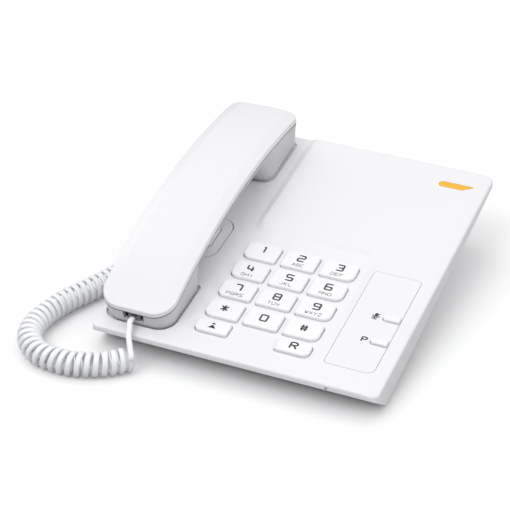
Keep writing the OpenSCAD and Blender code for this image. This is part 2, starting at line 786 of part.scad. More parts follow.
module key_1() key_body(keys[0][0], keys[0][1]);
module key_2() key_body(keys[1][0], keys[1][1]);
module key_3() key_body(keys[2][0], keys[2][1]);
module key_4() key_body(keys[3][0], keys[3][1]);
module key_5() key_body(keys[4][0], keys[4][1]);
module key_6() key_body(keys[5][0], keys[5][1]);
module key_7() key_body(keys[6][0], keys[6][1]);
module key_8() key_body(keys[7][0], keys[7][1]);
module key_9() key_body(keys[8][0], keys[8][1]);
module key_star() key_body(keys[9][0], keys[9][1]);
module key_0() key_body(keys[10][0], keys[10][1]);
module key_hash() key_body(keys[11][0], keys[11][1]);
module key_redial() key_body(keys[12][0], keys[12][1]);
module key_flash() key_body(keys[13][0], keys[13][1]);
module key_mute() key_body(keys[14][0], keys[14][1]);
module key_pause() key_body(keys[15][0], keys[15][1]);

module board_outline(inset = 0) {
    polygon([
        [board_left + inset, board_front + inset], [board_right - inset, board_front + inset],
        [board_right - inset, board_step - inset], [board_narrow - inset, board_step - inset],
        [board_narrow - inset, board_back - inset], [board_left + inset, board_back - inset]
    ]);
}

// Where a housing screw's boss, which stands upright, passes through the sloping boards
module boss_holes(z) {
    for (p = screw_posts)
        translate([p[0], (p[1] + z * sin(deck_tilt)) / cos(deck_tilt), z - 3])
            cylinder(r = boss_hole_r, h = 8, $fn = 32);
}

// Rubber mat with one raised ring under each key
module keypad_mat() {
    color(rubber_grey) on_deck() difference() {
        union() {
            translate([0, 0, mat_bottom]) linear_extrude(mat_t) board_outline(1);
            for (k = keys)
                translate([k[1][0], k[1][1], mat_top - eps])
                    cylinder(r1 = k[0] == "side" ? side_dome_r : dome_r,
                             r2 = (k[0] == "side" ? side_dome_r : dome_r) - 1, h = dome_h, $fn = 32);
        }
        for (k = keys)
            translate([k[1][0], k[1][1], mat_bottom - 1])
                cylinder(r = (k[0] == "side" ? 1.1 : stem_r) + stem_gap, h = mat_t + dome_h + 2, $fn = 24);
        for (p = board_posts)
            translate([p[0], p[1], mat_bottom - 1]) cylinder(r = post_r + 0.3, h = 10, $fn = 32);
        boss_holes(mat_bottom);
    }
}

module main_board() {
    color(board_green) on_deck() difference() {
        translate([0, 0, board_bottom]) linear_extrude(board_t) board_outline();
        for (p = board_posts)
            translate([p[0], p[1], board_bottom - 1]) cylinder(r = 1.3, h = 5, $fn = 24);
        boss_holes(board_bottom);
    }
}

module hook_board() {
    color(board_green) on_deck() difference() {
        translate([switch_x, plunger_s, hook_board_top - board_t])
            block([13, 2 * hook_post_d + 7, board_t]);
        for (p = hook_posts)
            translate([p[0], p[1], hook_board_top - 5]) cylinder(r = 1.3, h = 10, $fn = 24);
    }
}

module board_screws() {
    color(steel) on_deck() {
        for (p = board_posts)
            translate([p[0], p[1], board_bottom]) screw(1.05, 6, 2.3, 1.4);
        for (p = hook_posts)
            translate([p[0], p[1], hook_board_top - board_t]) screw(1.05, 6, 2.3, 1.4);
    }
}

module hook_switch() {
    color(black) on_deck() translate([switch_x, plunger_s, hook_board_top])
        block([switch_size[0], switch_size[1], switch_size[2] - 1]);
    color(black) on_deck() translate([switch_x, plunger_s, switch_top - 1 - eps])
        cylinder(r = 1.6, h = 0.8, $fn = 24);
}

// Height of the grip's underside above the deck where the plunger meets it
grip_under = arch_h - grip_t - pow(plunger_s - arch_s, 2) / (2 * arch_r);

module hook_plunger() {
    top = grip_under - rest_gap - 0.5;
    color(shell_white) on_deck() {
        intersection() {
            translate([0, 0, plunger_flange_top]) linear_extrude(top - plunger_flange_top)
                plunger_outline();
            // Soft round top
            translate([handset_x - 20, plunger_s, top - 30]) rotate([0, 90, 0])
                cylinder(r = 30, h = 40, $fn = 160);
        }
        translate([0, 0, plunger_flange_top - plunger_flange_t])
            linear_extrude(plunger_flange_t) plunger_outline(plunger_flange);
        // Foot that presses the switch
        translate([switch_x, plunger_s, switch_top + 0.1])
            cylinder(r = 2.4, h = plunger_flange_top - switch_top - 0.2, $fn = 32);
    }
}

module ringer() {
    color(black) translate([ringer_at[0], ringer_at[1], skirt_low + tray_t]) {
        cylinder(d = ringer_dia, h = 2.6, $fn = 64);
        translate([0, 0, 2.6 - eps]) cylinder(d = ringer_dia - 7, h = 0.6, $fn = 64);
    }
}

// ---------------------------------------------------------------- sockets and plugs

// Moulded socket block with its mouth at the origin, facing -y, and its hole centred
module socket_block(w, h, depth, wall, back) {
    difference() {
        translate([-w / 2 - wall, 0, -h / 2 - wall]) cube([w + 2 * wall, depth + back, h + 2 * wall]);
        translate([-w / 2, -1, -h / 2]) cube([w, depth + 1, h]);
    }
}

module line_jack() {
    color(black)
        translate([line_jack_x, tray_back - base_d / 2 - tray_t - 0.1, line_jack_z])
            rotate([0, 0, 180]) difference() {
                socket_block(line_w, line_h, line_depth - tray_t, line_wall, 1.4);
                // Gap for the latch of the plug
                translate([-1.8, -1, line_h / 2 - 0.5]) cube([3.6, line_depth - tray_t, 3]);
            }
}

module base_cord_jack() {
    color(black)
        translate([-half_w + skirt_t + 0.1, cord_jack_y, cord_jack_z])
            rotate([0, 0, -90])
                socket_block(plug_w + 0.3, plug_h + 0.3, cord_jack_hole, cord_jack_wall, cord_jack_back);
}

// Plug with its cable end at the origin, its body along +y and a stub of cord along -y
module cord_plug(stub) {
    translate([-plug_w / 2, 0, -plug_h / 2]) cube([plug_w, plug_len, plug_h]);
    rotate([90, 0, 0]) translate([0, 0, -1]) linear_extrude(stub + 1) hull() {
        for (side = [-1, 1])
            translate([side * (cord_w - cord_t) / 2, 0]) circle(cord_t / 2, $fn = 24);
    }
}

module base_plug() {
    color(cord_white)
        translate([-half_w - plug_out, cord_jack_y, cord_jack_z])
            rotate([0, 0, -90]) cord_plug(base_stub);
}

module handset_plug() {
    color(cord_white) on_deck()
        translate([handset_x, handset_plug_s, handset_plug_n]) cord_plug(handset_stub);
}

module handset_jack() {
    color(black) on_deck() translate([handset_x, handset_plug_s + handset_t + 0.4, handset_plug_n])
        difference() {
            union() {
                socket_block(plug_w + 0.3, plug_h + 0.3, plug_len - handset_t - 0.2, 0.7, 2);
                // Flange that covers the recess from behind
                translate([-7.4, 0, -3.8]) cube([14.8, 1.2, 7.9]);
            }
            translate([-plug_w / 2 - 0.15, -1, -plug_h / 2 - 0.15])
                cube([plug_w + 0.3, 3, plug_h + 0.3]);
        }
}

// ---------------------------------------------------------------- handset shells

function smooth(a, b, t) = let (u = max(0, min(1, (t - a) / (b - a)))) u * u * (3 - 2 * u);
function seam_n(s) = arch_h - pow(s - arch_s, 2) / (2 * arch_r);

// 1 over the two cups, 0 over the grip
function cup_share(s) =
    1 - smooth(mouth_cup_end - 4, mouth_cup_end + 4, s) + smooth(ear_cup_start - 4, ear_cup_start + 4, s);
function under_n(s) = let (c = cup_share(s)) -cup_depth * c + (seam_n(s) - grip_t) * (1 - c);

// Points up one side of the handset's outline, close together where the cups meet the grip
side_from = handset_s + mouth_r;
side_to = handset_end - ear_r;
side_stations = concat(
    [for (i = [1:3]) side_from + (mouth_cup_end - 6 - side_from) * i / 4],
    [for (i = [0:6]) mouth_cup_end - 6 + 2 * i],
    [for (i = [1:7]) mouth_cup_end + 6 + (ear_cup_start - mouth_cup_end - 12) * i / 8],
    [for (i = [0:6]) ear_cup_start - 6 + 2 * i],
    [for (i = [1:3]) ear_cup_start + 6 + (side_to - ear_cup_start - 6) * i / 4]
);
corner_steps = 6;

// Right half of the outline as [x, s, normal x, normal s], from the mouth end to the ear end
end_x = [handset_half - mouth_r, handset_half - ear_r];
half_outline = concat(
    [for (k = [1:2]) [end_x[0] * k / 3, handset_s, 0, -1]],
    [for (i = [0:corner_steps]) let (a = -90 + 90 * i / corner_steps)
        [handset_half - mouth_r + mouth_r * cos(a), side_from + mouth_r * sin(a), cos(a), sin(a)]],
    [for (s = side_stations) [handset_half, s, 1, 0]],
    [for (i = [0:corner_steps]) let (a = 90 * i / corner_steps)
        [handset_half - ear_r + ear_r * cos(a), side_to + ear_r * sin(a), cos(a), sin(a)]],
    [for (k = [2:-1:1]) [end_x[1] * k / 3, handset_end, 0, 1]]
);
half_n = len(half_outline);
full_outline = concat(
    half_outline,
    [for (i = [half_n - 1:-1:0]) let (p = half_outline[i]) [-p[0], p[1], -p[2], p[3]]]
);
full_n = len(full_outline);

// A point moved in by inset along its normal, then drawn towards the spine by a share
function drawn_in(p, inset, share) =
    let (x = p[0] - inset * p[2], s = p[1] - inset * p[3],
         bow = handset_half + 8 * pow(x / handset_half, 2),
         spine = max(handset_s + bow, min(handset_end - bow, s)))
    [x * (1 - share), s + (spine - s) * share];

// Height of the cover's top above the parting line: a sloped band, then a low crown
function cover_rise(x, s) =
    let (dx = handset_half - abs(x), fade = smooth(handset_s - 6, handset_s + 40, s),
         inner = handset_half - band_w)
    cover_side_h - 0.7 * (1 - fade) + fade * (band_rise * min(1, dx / band_w)
        + crown_rise * max(0, 1 - pow(x / inner, 2)));

function cover_point(p, inset, share, drop) =
    let (q = drawn_in(p, inset, share))
    [handset_x + q[0], q[1], seam_n(q[1]) + cover_rise(q[0], q[1]) - drop];

// Point on the cover's wall, level with the parting line
function wall_point(p, inset) =
    let (q = drawn_in(p, inset, 0)) [handset_x + q[0], q[1], seam_n(q[1]) + 0.05];

// Underside point: lift is the height above the bottom of cup or grip
function shell_point(p, inset, grip_inset, share, lift) =
    let (c = cup_share(p[1]), q = drawn_in(p, inset + (1 - c) * grip_inset, share))
    [handset_x + q[0], q[1], under_n(p[1]) + lift];

// Closed skin through rings of full_n points, its first and last ring capped left to right
module skin(rings) {
    n = full_n;
    count = len(rings);
    pts = [for (r = rings) each r];
    walls = [for (k = [0:count - 2], j = [0:n - 1])
        let (a = k * n + j, b = k * n + (j + 1) % n, c = a + n, d = b + n)
        each [[a, d, b], [a, c, d]]];
    cap = function (base, flip) [for (j = [0:half_n - 2])
        let (a = base + j, b = base + j + 1, c = base + n - 2 - j, d = base + n - 1 - j)
        each (flip ? [[a, c, b], [a, d, c]] : [[a, b, c], [a, c, d]])];
    polyhedron(points = pts, faces = concat(walls, cap(0, false), cap((count - 1) * n, true)),
               convexity = 6);
}

cover_rings = let (t = handset_t) [
    [for (p = full_outline) cover_point(p, band_w, 0.85, 0)],
    [for (p = full_outline) cover_point(p, band_w, 0.4, 0)],
    [for (p = full_outline) cover_point(p, band_w, 0, 0)],
    [for (p = full_outline) cover_point(p, band_w / 2, 0, 0)],
    [for (p = full_outline) cover_point(p, 0.6, 0, 0)],
    [for (p = full_outline) cover_point(p, 0, 0, 0.7)],
    [for (p = full_outline) wall_point(p, 0)],
    [for (p = full_outline) wall_point(p, t)],
    [for (p = full_outline) cover_point(p, t, 0, t + 0.4)],
    [for (p = full_outline) cover_point(p, band_w, 0, t)],
    [for (p = full_outline) cover_point(p, band_w, 0.85, t)]
];

module handset_cover() {
    color(shell_white) on_deck() difference() {
        union() {
            skin([for (i = [len(cover_rings) - 1:-1:0]) cover_rings[i]]);
            for (s = handset_screw_s)
                translate([handset_x, s, handset_seat + 2.7])
                    cylinder(r = 3.3, h = seam_n(s) + cover_rise(0, s) - 1 - handset_seat - 2.7, $fn = 40);
        }
        for (s = handset_screw_s)
            translate([handset_x, s, handset_seat])
                cylinder(r = handset_screw_r + 0.03, h = 12.5, $fn = 32);
    }
}

grip_in = 2.4;   // how far the grip's side lies inside the cover's edge
shell_rings = let (t = handset_t, rim = 0.4) [
    [for (p = full_outline) shell_point(p, 9, 5, 0.85, 0)],
    [for (p = full_outline) shell_point(p, 5.5, 5, 0, 0)],
    [for (p = full_outline) shell_point(p, cup_draft + 1.6, 3.6, 0, 0.7)],
    [for (p = full_outline) shell_point(p, cup_draft + 0.3, grip_in, 0, 2.6)],
    [for (p = full_outline) let (c = cup_share(p[1]), q = drawn_in(p, rim + 0.5, 0))
        [handset_x + q[0] * (1 - 0.03 * (1 - c)), q[1], seam_n(q[1]) - 3 - 2 * c]],
    [for (p = full_outline) let (q = drawn_in(p, rim, 0)) [handset_x + q[0], q[1], seam_n(q[1])]],
    [for (p = full_outline) let (q = drawn_in(p, rim + t, 0)) [handset_x + q[0], q[1], seam_n(q[1])]],
    [for (p = full_outline) let (c = cup_share(p[1]), q = drawn_in(p, rim + t + 0.5, 0))
        [handset_x + q[0] * (1 - 0.03 * (1 - c)), q[1], seam_n(q[1]) - 3 - 1 * c]],
    [for (p = full_outline) shell_point(p, cup_draft + 0.3 + t, grip_in + 0.6, 0, 3.4)],
    [for (p = full_outline) shell_point(p, cup_draft + 2.4 + t, 3.6, 0, t)],
    [for (p = full_outline) shell_point(p, 9, 5, 0.85, t)]
];

mic_s = mouth_cup_end - 19;
ear_s = handset_end - 22;
handset_screw_s = [mouth_cup_end - 7.5, ear_cup_start + 6];
handset_seat = 2.6;         // height of the seat for the handset's screw heads
handset_boss_r = 4.4;
handset_screw_r = 1.3;

module handset_shell() {
    color(shell_white) on_deck() difference() {
        union() {
            skin(shell_rings);
            for (s = handset_screw_s)
                translate([handset_x, s, -cup_depth + 1])
                    cylinder(r = handset_boss_r, h = handset_seat + 2.6 + cup_depth - 1, $fn = 40);
        }
        for (s = handset_screw_s)
            translate([handset_x, s, -cup_depth - 1]) {
                cylinder(r = 3, h = handset_seat + cup_depth + 1, $fn = 40);
                cylinder(r = handset_screw_r + 0.25, h = 20, $fn = 32);
            }
        // Recess for the cord socket in the mouth end
        translate([handset_x - 6.7, handset_s - 2, handset_plug_n - 2.9])
            cube([13.4, 2 + cup_draft + 2.7, 12]);
        // Sound holes over the receiver and the microphone
        for (i = [0:5])
            translate([handset_x + 5.5 * cos(60 * i), ear_s + 5.5 * sin(60 * i), -cup_depth - 1])
                cylinder(r = 1.1, h = 5, $fn = 20);
        translate([handset_x, ear_s, -cup_depth - 1]) cylinder(r = 1.1, h = 5, $fn = 20);
        translate([handset_x, mic_s, -cup_depth - 1]) cylinder(r = 1, h = 5, $fn = 20);
    }
}

cup_floor = -cup_depth + handset_t;

module receiver() {
    color(black) on_deck() translate([handset_x, ear_s, cup_floor + 1.5]) {
        cylinder(d = receiver_dia, h = 5.4, $fn = 64);
        translate([0, 0, 5.4 - eps]) cylinder(d = receiver_dia - 10, h = 2.6, $fn = 48);
    }
}

module receiver_gasket() {
    color(rubber_grey) on_deck() translate([handset_x, ear_s, cup_floor + 0.02]) difference() {
        cylinder(d = receiver_dia - 2, h = 1.46, $fn = 64);
        translate([0, 0, -1]) cylinder(d = receiver_dia - 10, h = 4, $fn = 64);
    }
}

module microphone() {
    color(steel) on_deck() translate([handset_x, mic_s, cup_floor + 1.2])
        cylinder(r = 4.85, h = 6.5, $fn = 40);
}

module microphone_boot() {
    color(rubber_grey) on_deck() translate([handset_x, mic_s, cup_floor + 0.02]) difference() {
        cylinder(r = 6.6, h = 6, $fn = 40);
        translate([0, 0, 1.15]) cylinder(r = 4.88, h = 8, $fn = 40);
        translate([0, 0, -1]) cylinder(r = 2, h = 4, $fn = 24);
    }
}

// Steel bar on the grip's floor
module handset_weight() {
    color(steel) on_deck()
        translate([handset_x, arch_s, under_n(arch_s) + handset_t + 0.05])
            block([handset_w - 29, weight_len, 4]);
}

module handset_screws() {
    color(steel) on_deck() for (s = handset_screw_s)
        translate([handset_x, s, handset_seat]) screw(handset_screw_r, 12, 2.6, 1.8);
}

// ---------------------------------------------------------------- curly cord

// Point on a smooth curve through four route points
function spline_point(a, b, c, d, t) = 0.5 * (
    2 * b + (c - a) * t + (2 * a - 5 * b + 4 * c - d) * t * t + (3 * b - a - 3 * c + d) * t * t * t
);

function spline(pts, steps) = let (n = len(pts)) concat(
    [for (i = [0:n - 2], j = [0:steps - 1])
        let (a = i > 0 ? pts[i - 1] : 2 * pts[0] - pts[1],
             d = i < n - 2 ? pts[i + 2] : 2 * pts[n - 1] - pts[n - 2])
        spline_point(a, pts[i], pts[i + 1], d, j / steps)],
    [pts[n - 1]]
);

function path_lengths(pts, i = 1, sums = [0]) =
    i >= len(pts) ? sums : path_lengths(pts, i + 1, concat(sums, [sums[i - 1] + norm(pts[i] - pts[i - 1])]));

function unit(v) = v / norm(v);

coil_line = spline(coil_route, 4);
coil_sums = path_lengths(coil_line);
coil_len = coil_sums[len(coil_sums) - 1];
curl_pitch = coil_len / curls;

// Place and heading on the coil's middle line at a distance from its front end
function line_at(d, i = 0) =
    i >= len(coil_line) - 2 || d < coil_sums[i + 1]
        ? let (a = coil_line[i], b = coil_line[i + 1],
               share = (d - coil_sums[i]) / (coil_sums[i + 1] - coil_sums[i]))
          [a + (b - a) * share, unit(b - a)]
        : line_at(d, i + 1);

function heading_at(d) = unit(line_at(min(coil_len, d + 6))[0] - line_at(max(0, d - 6))[0]);

function curl_point(turn) =
    let (d = coil_len * turn / curls, at = line_at(d)[0], h = heading_at(d), a = -360 * turn)
    [at[0] - coil_r * cos(a) * h[1], at[1] + coil_r * cos(a) * h[0], coil_z + coil_r * sin(a)];

function curl_axis(turn) = let (h = heading_at(coil_len * turn / curls)) [h[0], h[1], 0];

// The last half turn is left off, so that both ends of the coil point up
coil_turns = [for (i = [0:(curls - 0.5) * curl_rings]) i / curl_rings];
coil_middle = [for (t = coil_turns) curl_point(t)];
coil_last = coil_middle[len(coil_middle) - 1];

// Flat section with six corners: wide along the axis, thin across it
function flat_ring(at, wide, thin) = [
    at + wide * cord_w / 2, at + wide * cord_w * 0.28 + thin * cord_t / 2,
    at - wide * cord_w * 0.28 + thin * cord_t / 2, at - wide * cord_w / 2,
    at - wide * cord_w * 0.28 - thin * cord_t / 2, at + wide * cord_w * 0.28 - thin * cord_t / 2
];

// Ring at a place, square to a direction, its wide side as near to the given one as that allows
function square_ring(at, along, wide) =
    let (w = unit(wide - (wide * along) * along)) flat_ring(at, w, cross(along, w));

function ring_on(line, i, wide) =
    let (a = line[max(0, i - 1)], b = line[min(len(line) - 1, i + 1)])
    square_ring(line[i], unit(b - a), wide);

module tube(rings) {
    sides = len(rings[0]);
    last = len(rings) - 1;
    pts = [for (r = rings) each r];
    walls = [for (k = [0:last - 1], j = [0:sides - 1])
        let (a = k * sides + j, b = k * sides + (j + 1) % sides)
        each [[a, b + sides, b], [a, a + sides, b + sides]]];
    front = [for (j = [1:sides - 2]) [0, j, j + 1]];
    back = [for (j = [1:sides - 2]) [last * sides, last * sides + j + 1, last * sides + j]];
    polyhedron(points = pts, faces = concat(walls, front, back), convexity = 10);
}

// Straight ends: one goes up to the handset's lead, the other up to the base's lead
coil_path = concat(
    [coil_middle[0] + [0, 0, lead_straight]], coil_middle,
    [coil_last + [0, 0, lead_straight]]
);
coil_path_axes = concat(
    [curl_axis(0)], [for (t = coil_turns) curl_axis(t)], [curl_axis(curls - 0.5)]
);
coil_tube = [for (i = [0:len(coil_path) - 1]) ring_on(coil_path, i, coil_path_axes[i])];

// Least distance between the corners of one turn and those of the next
turn_gap = min([for (i = [1:len(coil_tube) - 2 - curl_rings], k = [-1:1])
    let (j = i + curl_rings + k)
    if (j < len(coil_tube) - 1) min([for (p = coil_tube[i], q = coil_tube[j]) norm(p - q)])]);
echo(least_gap_between_turns = turn_gap, curl_pitch = curl_pitch, coil_len = coil_len);

module curly_cord() {
    color(cord_white) tube(coil_tube);
}

// Leads: hand-chosen points between the plugs and the coil
handset_exit = deck_point([handset_x, handset_plug_s - handset_stub, handset_plug_n]);
handset_exit_dir = -[0, cos(deck_tilt), sin(deck_tilt)];
handset_lead_route = concat(
    [handset_exit, handset_exit + handset_exit_dir * lead_straight],
    [[-63.5, -105, 22.5], [-61.5, -110, 19.5]],
    [coil_path[0] + [0, 0, lead_straight], coil_path[0]]
);
base_exit = [-half_w - plug_out - base_stub, cord_jack_y, cord_jack_z];
base_lead_route = concat(
    [base_exit, base_exit - [lead_straight, 0, 0]],
    [[-103.5, -5.5, 22.8], [-106, -8.5, 20.8], [-104, -12.5, 18.6], [-98.5, -15.5, 17.2]],
    [coil_last + [0, 0, 2 * lead_straight], coil_last + [0, 0, lead_straight]]
);

// Its first and last rings are square to the straight ends of the route
function lead_tube(route, wide_from, wide_to) =
    let (line = spline(route, 3), n = len(line) - 1, last = len(route) - 1)
    concat(
        [square_ring(line[0], unit(route[1] - route[0]), wide_from)],
        [for (i = [1:n - 1]) ring_on(line, i, wide_from + (wide_to - wide_from) * i / n)],
        [square_ring(line[n], unit(route[last] - route[last - 1]), wide_to)]
    );

module handset_lead() {
    color(cord_white) tube(lead_tube(handset_lead_route, [-1, 0, 0], curl_axis(0)));
}

module base_lead() {
    color(cord_white) tube(lead_tube(base_lead_route, [0, 1, 0], curl_axis(curls - 0.5)));
}

upper_housing();
lower_housing();
side_panel();
indicator_lens();
indicator_led();
main_board();
keypad_mat();
ringer();
hook_board();
hook_switch();
hook_plunger();
line_jack();
base_cord_jack();
rubber_feet();
housing_screws();
board_screws();
key_1();
key_2();
key_3();
key_4();
key_5();
key_6();
key_7();
key_8();
key_9();
key_star();
key_0();
key_hash();
key_redial();
key_flash();
key_mute();
key_pause();
handset_cover();
handset_shell();
receiver();
receiver_gasket();
microphone();
microphone_boot();
handset_weight();
handset_jack();
handset_screws();
handset_plug();
handset_lead();
curly_cord();
base_lead();
base_plug();
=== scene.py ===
from math import copysign, cos, hypot, pi, radians, sin, sqrt, tan

import bmesh
import bpy
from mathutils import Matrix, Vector
from mathutils.geometry import delaunay_2d_cdt
from mathutils.kdtree import KDTree


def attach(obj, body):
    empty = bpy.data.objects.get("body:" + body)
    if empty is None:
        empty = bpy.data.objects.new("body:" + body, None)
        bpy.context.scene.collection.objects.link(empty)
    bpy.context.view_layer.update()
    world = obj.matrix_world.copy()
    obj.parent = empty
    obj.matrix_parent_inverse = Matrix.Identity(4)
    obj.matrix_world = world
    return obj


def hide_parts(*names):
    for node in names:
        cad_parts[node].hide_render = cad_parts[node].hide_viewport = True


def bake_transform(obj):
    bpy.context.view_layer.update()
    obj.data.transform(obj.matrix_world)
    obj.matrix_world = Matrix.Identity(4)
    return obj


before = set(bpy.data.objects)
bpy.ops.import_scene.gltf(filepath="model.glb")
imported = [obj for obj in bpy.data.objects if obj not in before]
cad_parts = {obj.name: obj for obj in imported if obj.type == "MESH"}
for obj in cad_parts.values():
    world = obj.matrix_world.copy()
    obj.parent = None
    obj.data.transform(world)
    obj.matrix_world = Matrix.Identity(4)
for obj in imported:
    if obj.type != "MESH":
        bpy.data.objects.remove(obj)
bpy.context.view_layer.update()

# ---- sizes, in millimetres

MM = 0.001
BASE_W, BASE_D, FRONT_H = 180.0, 210.0, 18.0
TILT = radians(8)
DECK_LEN = BASE_D / cos(TILT)
BACK_H = FRONT_H + BASE_D * tan(TILT)
LIP_H, BACK_LIP_H, UNDERCUT_D, SKIRT_LOW, SKIRT_FLAT_END = 3.6, 4.8, 15.5, 2.4, 22.0
DECK_T, SKIRT_T, CORNER_R = 4.0, 2.4, 5.0
ROLL_W, ROLL_R = 13.0, 62.0
STEP_H, PLATEAU_S = 1.8, 114.0
PLATEAU_X, RECESS_X = -35.45, 46.4
PLATEAU_R, RECESS_R = 8.0, 11.0
RAMP, RAMP_SOFT = 4.0, 0.15  # width of the slope round the plateau, share of its soft foot
FIELD_X = 7.0  # left of it the field is bounded by the plateau, right by the recess
EDGE_R = 1.2  # rounding of the housing's outer edges
STEP_SOFT = 0.3  # half the width of the soft edge of the island and the strip
FRONT_HOLE = (59.4, 15.5, 1.0, 4.0)  # middle across and up, radius and depth
CORD_SOCKET = (-5.0, 23.412, 7.9, 5.9)  # middle along and up, width and height of its opening

# Boxes on the deck: middle across and up the slope, width, depth and corner radius
LABEL = (5.5, 21.6, 28.0, 9.6, 0.4)
LABEL_DEPTH = 0.25
HANDSET_X, ISLAND_S = -64.75, 98.0
ISLAND = (HANDSET_X, ISLAND_S, 36.4, 39.0, 9.0)
ISLAND_TOP = 0.3 - STEP_H * ISLAND_S / PLATEAU_S  # stands 0.3 over the deck
ISLAND_GROOVE = 2.2  # depth of the groove round the island's foot
GROOVE_AT, GROOVE_LOW, GROOVE_HIGH = 0.1, 0.25, 0.45  # its middle, half widths below and above
PLUNGER = (HANDSET_X, ISLAND_S, 23.4, 19.6, 2.5)
SLOT_GAP = 0.6  # gap round the plunger

HANDSET_S, HANDSET_LEN, HANDSET_HALF = 8.0, 199.0, 23.5
HANDSET_END = HANDSET_S + HANDSET_LEN
MOUTH_R, EAR_R = 13.0, 6.0
ARCH_H, ARCH_S, ARCH_R = 25.5, 120.0, 370.0
COVER_SIDE, BAND_W, BAND_RISE, CROWN_RISE = 4.2, 6.3, 1.9, 0.8
COVER_EDGE, GROOVE_H, GROOVE_D, SEAM_IN = 0.5, 0.8, 1.4, 0.1
SEAM_PLAY = 0.01  # between the dark seam strip of painted shade and the groove above and below it
SHELL_GAP = 0.05  # between the parting line and the cover's underside
FRONT_DROP, FRONT_FADE = 0.7, (-6.0, 40.0)  # the cover is lower in front, until the fade ends
CREASE_HALF = 0.35  # half the width of the soft crease beside the crown
CUP_END, EAR_START = 55.0, 158.0
CUP_TURN, CUP_SPAN = 4.0, 6.0  # half lengths of the way from cup to grip, and of its fine rings
GRIP_T, CUP_DEPTH, CUP_DRAFT = 11.5, 2.9, 1.5
CUP_WALL = CUP_DRAFT + 0.3  # how far the cups' walls stand in at their foot
MOUTH_CUP_R, EAR_CUP_R = 3.0, 8.0  # corners of the cups towards the grip
SPINE_BOW = 8.0  # how far the spine's ends draw back towards the sides
WELL_GAP, WELL_FLOOR, TUB_T = 0.7, -3.2, 2.0
MOUTH_WELL_R, EAR_WELL_R = 11.0, 5.0
PLUG_S, PLUG_N, PLUG_STUB = 9.8, 5.7, 2.4
MIC_S, EAR_S, SCREW_S = 36.0, 183.0, (47.5, 164.0)
EAR_HOLES_R, EAR_HOLE_R, MIC_HOLE_R, SCREW_HOLE_R = 5.5, 1.1, 1.0, 3.0
HOLES_FROM = -4.0  # height at which the holes' cutters begin, below the cups

PANEL = (66.0, 59.0, 30.0, 84.0)
PANEL_RADII = (2.5, 5.0, 2.5, 2.5)
PANEL_T, PANEL_EDGE = 1.6, 0.12
PANEL_SEAM = 0.1  # how much wider the dark line round the panel is than the fit
LENS_LEFT, LENS_RIGHT, LENS_S, LENS_D, LENS_TIP = 59.1, 80.6, 194.2, 5.2, 5.8
LENS_RISE, LENS_CROWN = 0.05, 0.18
FIT_GAP, KEY_GAP = 0.15, 0.4
KEY_RISE, SIDE_KEY_RISE, KEY_EDGE = 2.0, 1.6, 0.8
KEY_FOOT = DECK_T + 0.6  # how far the keys reach into the deck
# Rounded edges of key holes, plunger slot, wells, panel pocket and small openings
HOLE_EDGE, SLOT_EDGE, WELL_EDGE, POCKET_EDGE, SMALL_EDGE = 0.35, 0.15, 0.5, 0.22, 0.2

KEY_SIZES = {
    "left": ((21.4, 14.6), (5.0, 1.6, 1.6, 3.0)),
    "middle": ((21.4, 14.6), (1.6, 1.6, 1.6, 1.6)),
    "right": ((21.4, 14.6), (1.6, 5.0, 3.0, 1.6)),
    "wide_left": ((20.8, 10.4), (4.0, 1.6, 1.6, 3.0)),
    "wide_right": ((20.8, 10.4), (1.6, 4.0, 3.0, 1.6)),
    "side": ((10.4, 4.6), (2.0, 0.5, 0.5, 2.0)),
}
PITCH_X, PITCH_S, KEYPAD_X, KEYPAD_S = 25.2, 18.8, 5.5, 37.6
COLUMNS = ("left", "middle", "right")
REDIAL_AT = (-20.0, 21.6)


def grid_key(order, name, digit, letters=""):
    """A key of the number pad, by its order from the back left."""
    row, col = divmod(order, 3)
    place = (KEYPAD_X + (col - 1) * PITCH_X, KEYPAD_S + (3 - row) * PITCH_S)
    return ("key_" + name, COLUMNS[col], place, digit, letters)


# Name, outline, place and the print on it
LETTERS = ("", "ABC", "DEF", "GHI", "JKL", "MNO", "PQRS", "TUV", "WXYZ")
DECK_KEYS = [grid_key(i, str(i + 1), str(i + 1), word) for i, word in enumerate(LETTERS)]
DECK_KEYS += [
    grid_key(9, "star", "*"),
    grid_key(10, "0", "0"),
    grid_key(11, "hash", "#"),
    ("key_redial", "wide_left", REDIAL_AT, "", ""),
    ("key_flash", "wide_right", (31.0, 21.6), "R", ""),
]
PANEL_KEYS = [
    ("key_mute", "side", (75.5, 63.4), "", ""),
    ("key_pause", "side", (75.5, 42.6), "", ""),
]
KEYS = DECK_KEYS + PANEL_KEYS


def deck(x, s, n):
    """Place on the deck (x across, s up the slope, n out of it) in the table's frame."""
    y = -BASE_D / 2 + s * cos(TILT) - n * sin(TILT)
    z = FRONT_H + s * sin(TILT) + n * cos(TILT)
    return Vector((x, y, z)) * MM


def held(value, low, high):
    return max(low, min(high, value))


def smooth(a, b, t):
    u = held((t - a) / (b - a), 0.0, 1.0)
    return u * u * (3 - 2 * u)


def mix(a, b, t):
    return a + (b - a) * t


def add_object(name, data, place=(0, 0, 0), look=None):
    """A new object in the scene, which faces the way look points."""
    made = bpy.data.objects.new(name, data)
    bpy.context.scene.collection.objects.link(made)
    made.location = place
    if look:
        made.rotation_mode = "QUATERNION"
        made.rotation_quaternion = look.to_track_quat("-Z", "Y")
    return made


# ---- camera

AZIMUTH, ELEVATION = radians(23.66), radians(32.94)
CAMERA_AT = (0.3565, -0.8818, 0.6431)
IMAGE_PX, FOCAL_PX, SENSOR = 510, 1851.8, 36.0


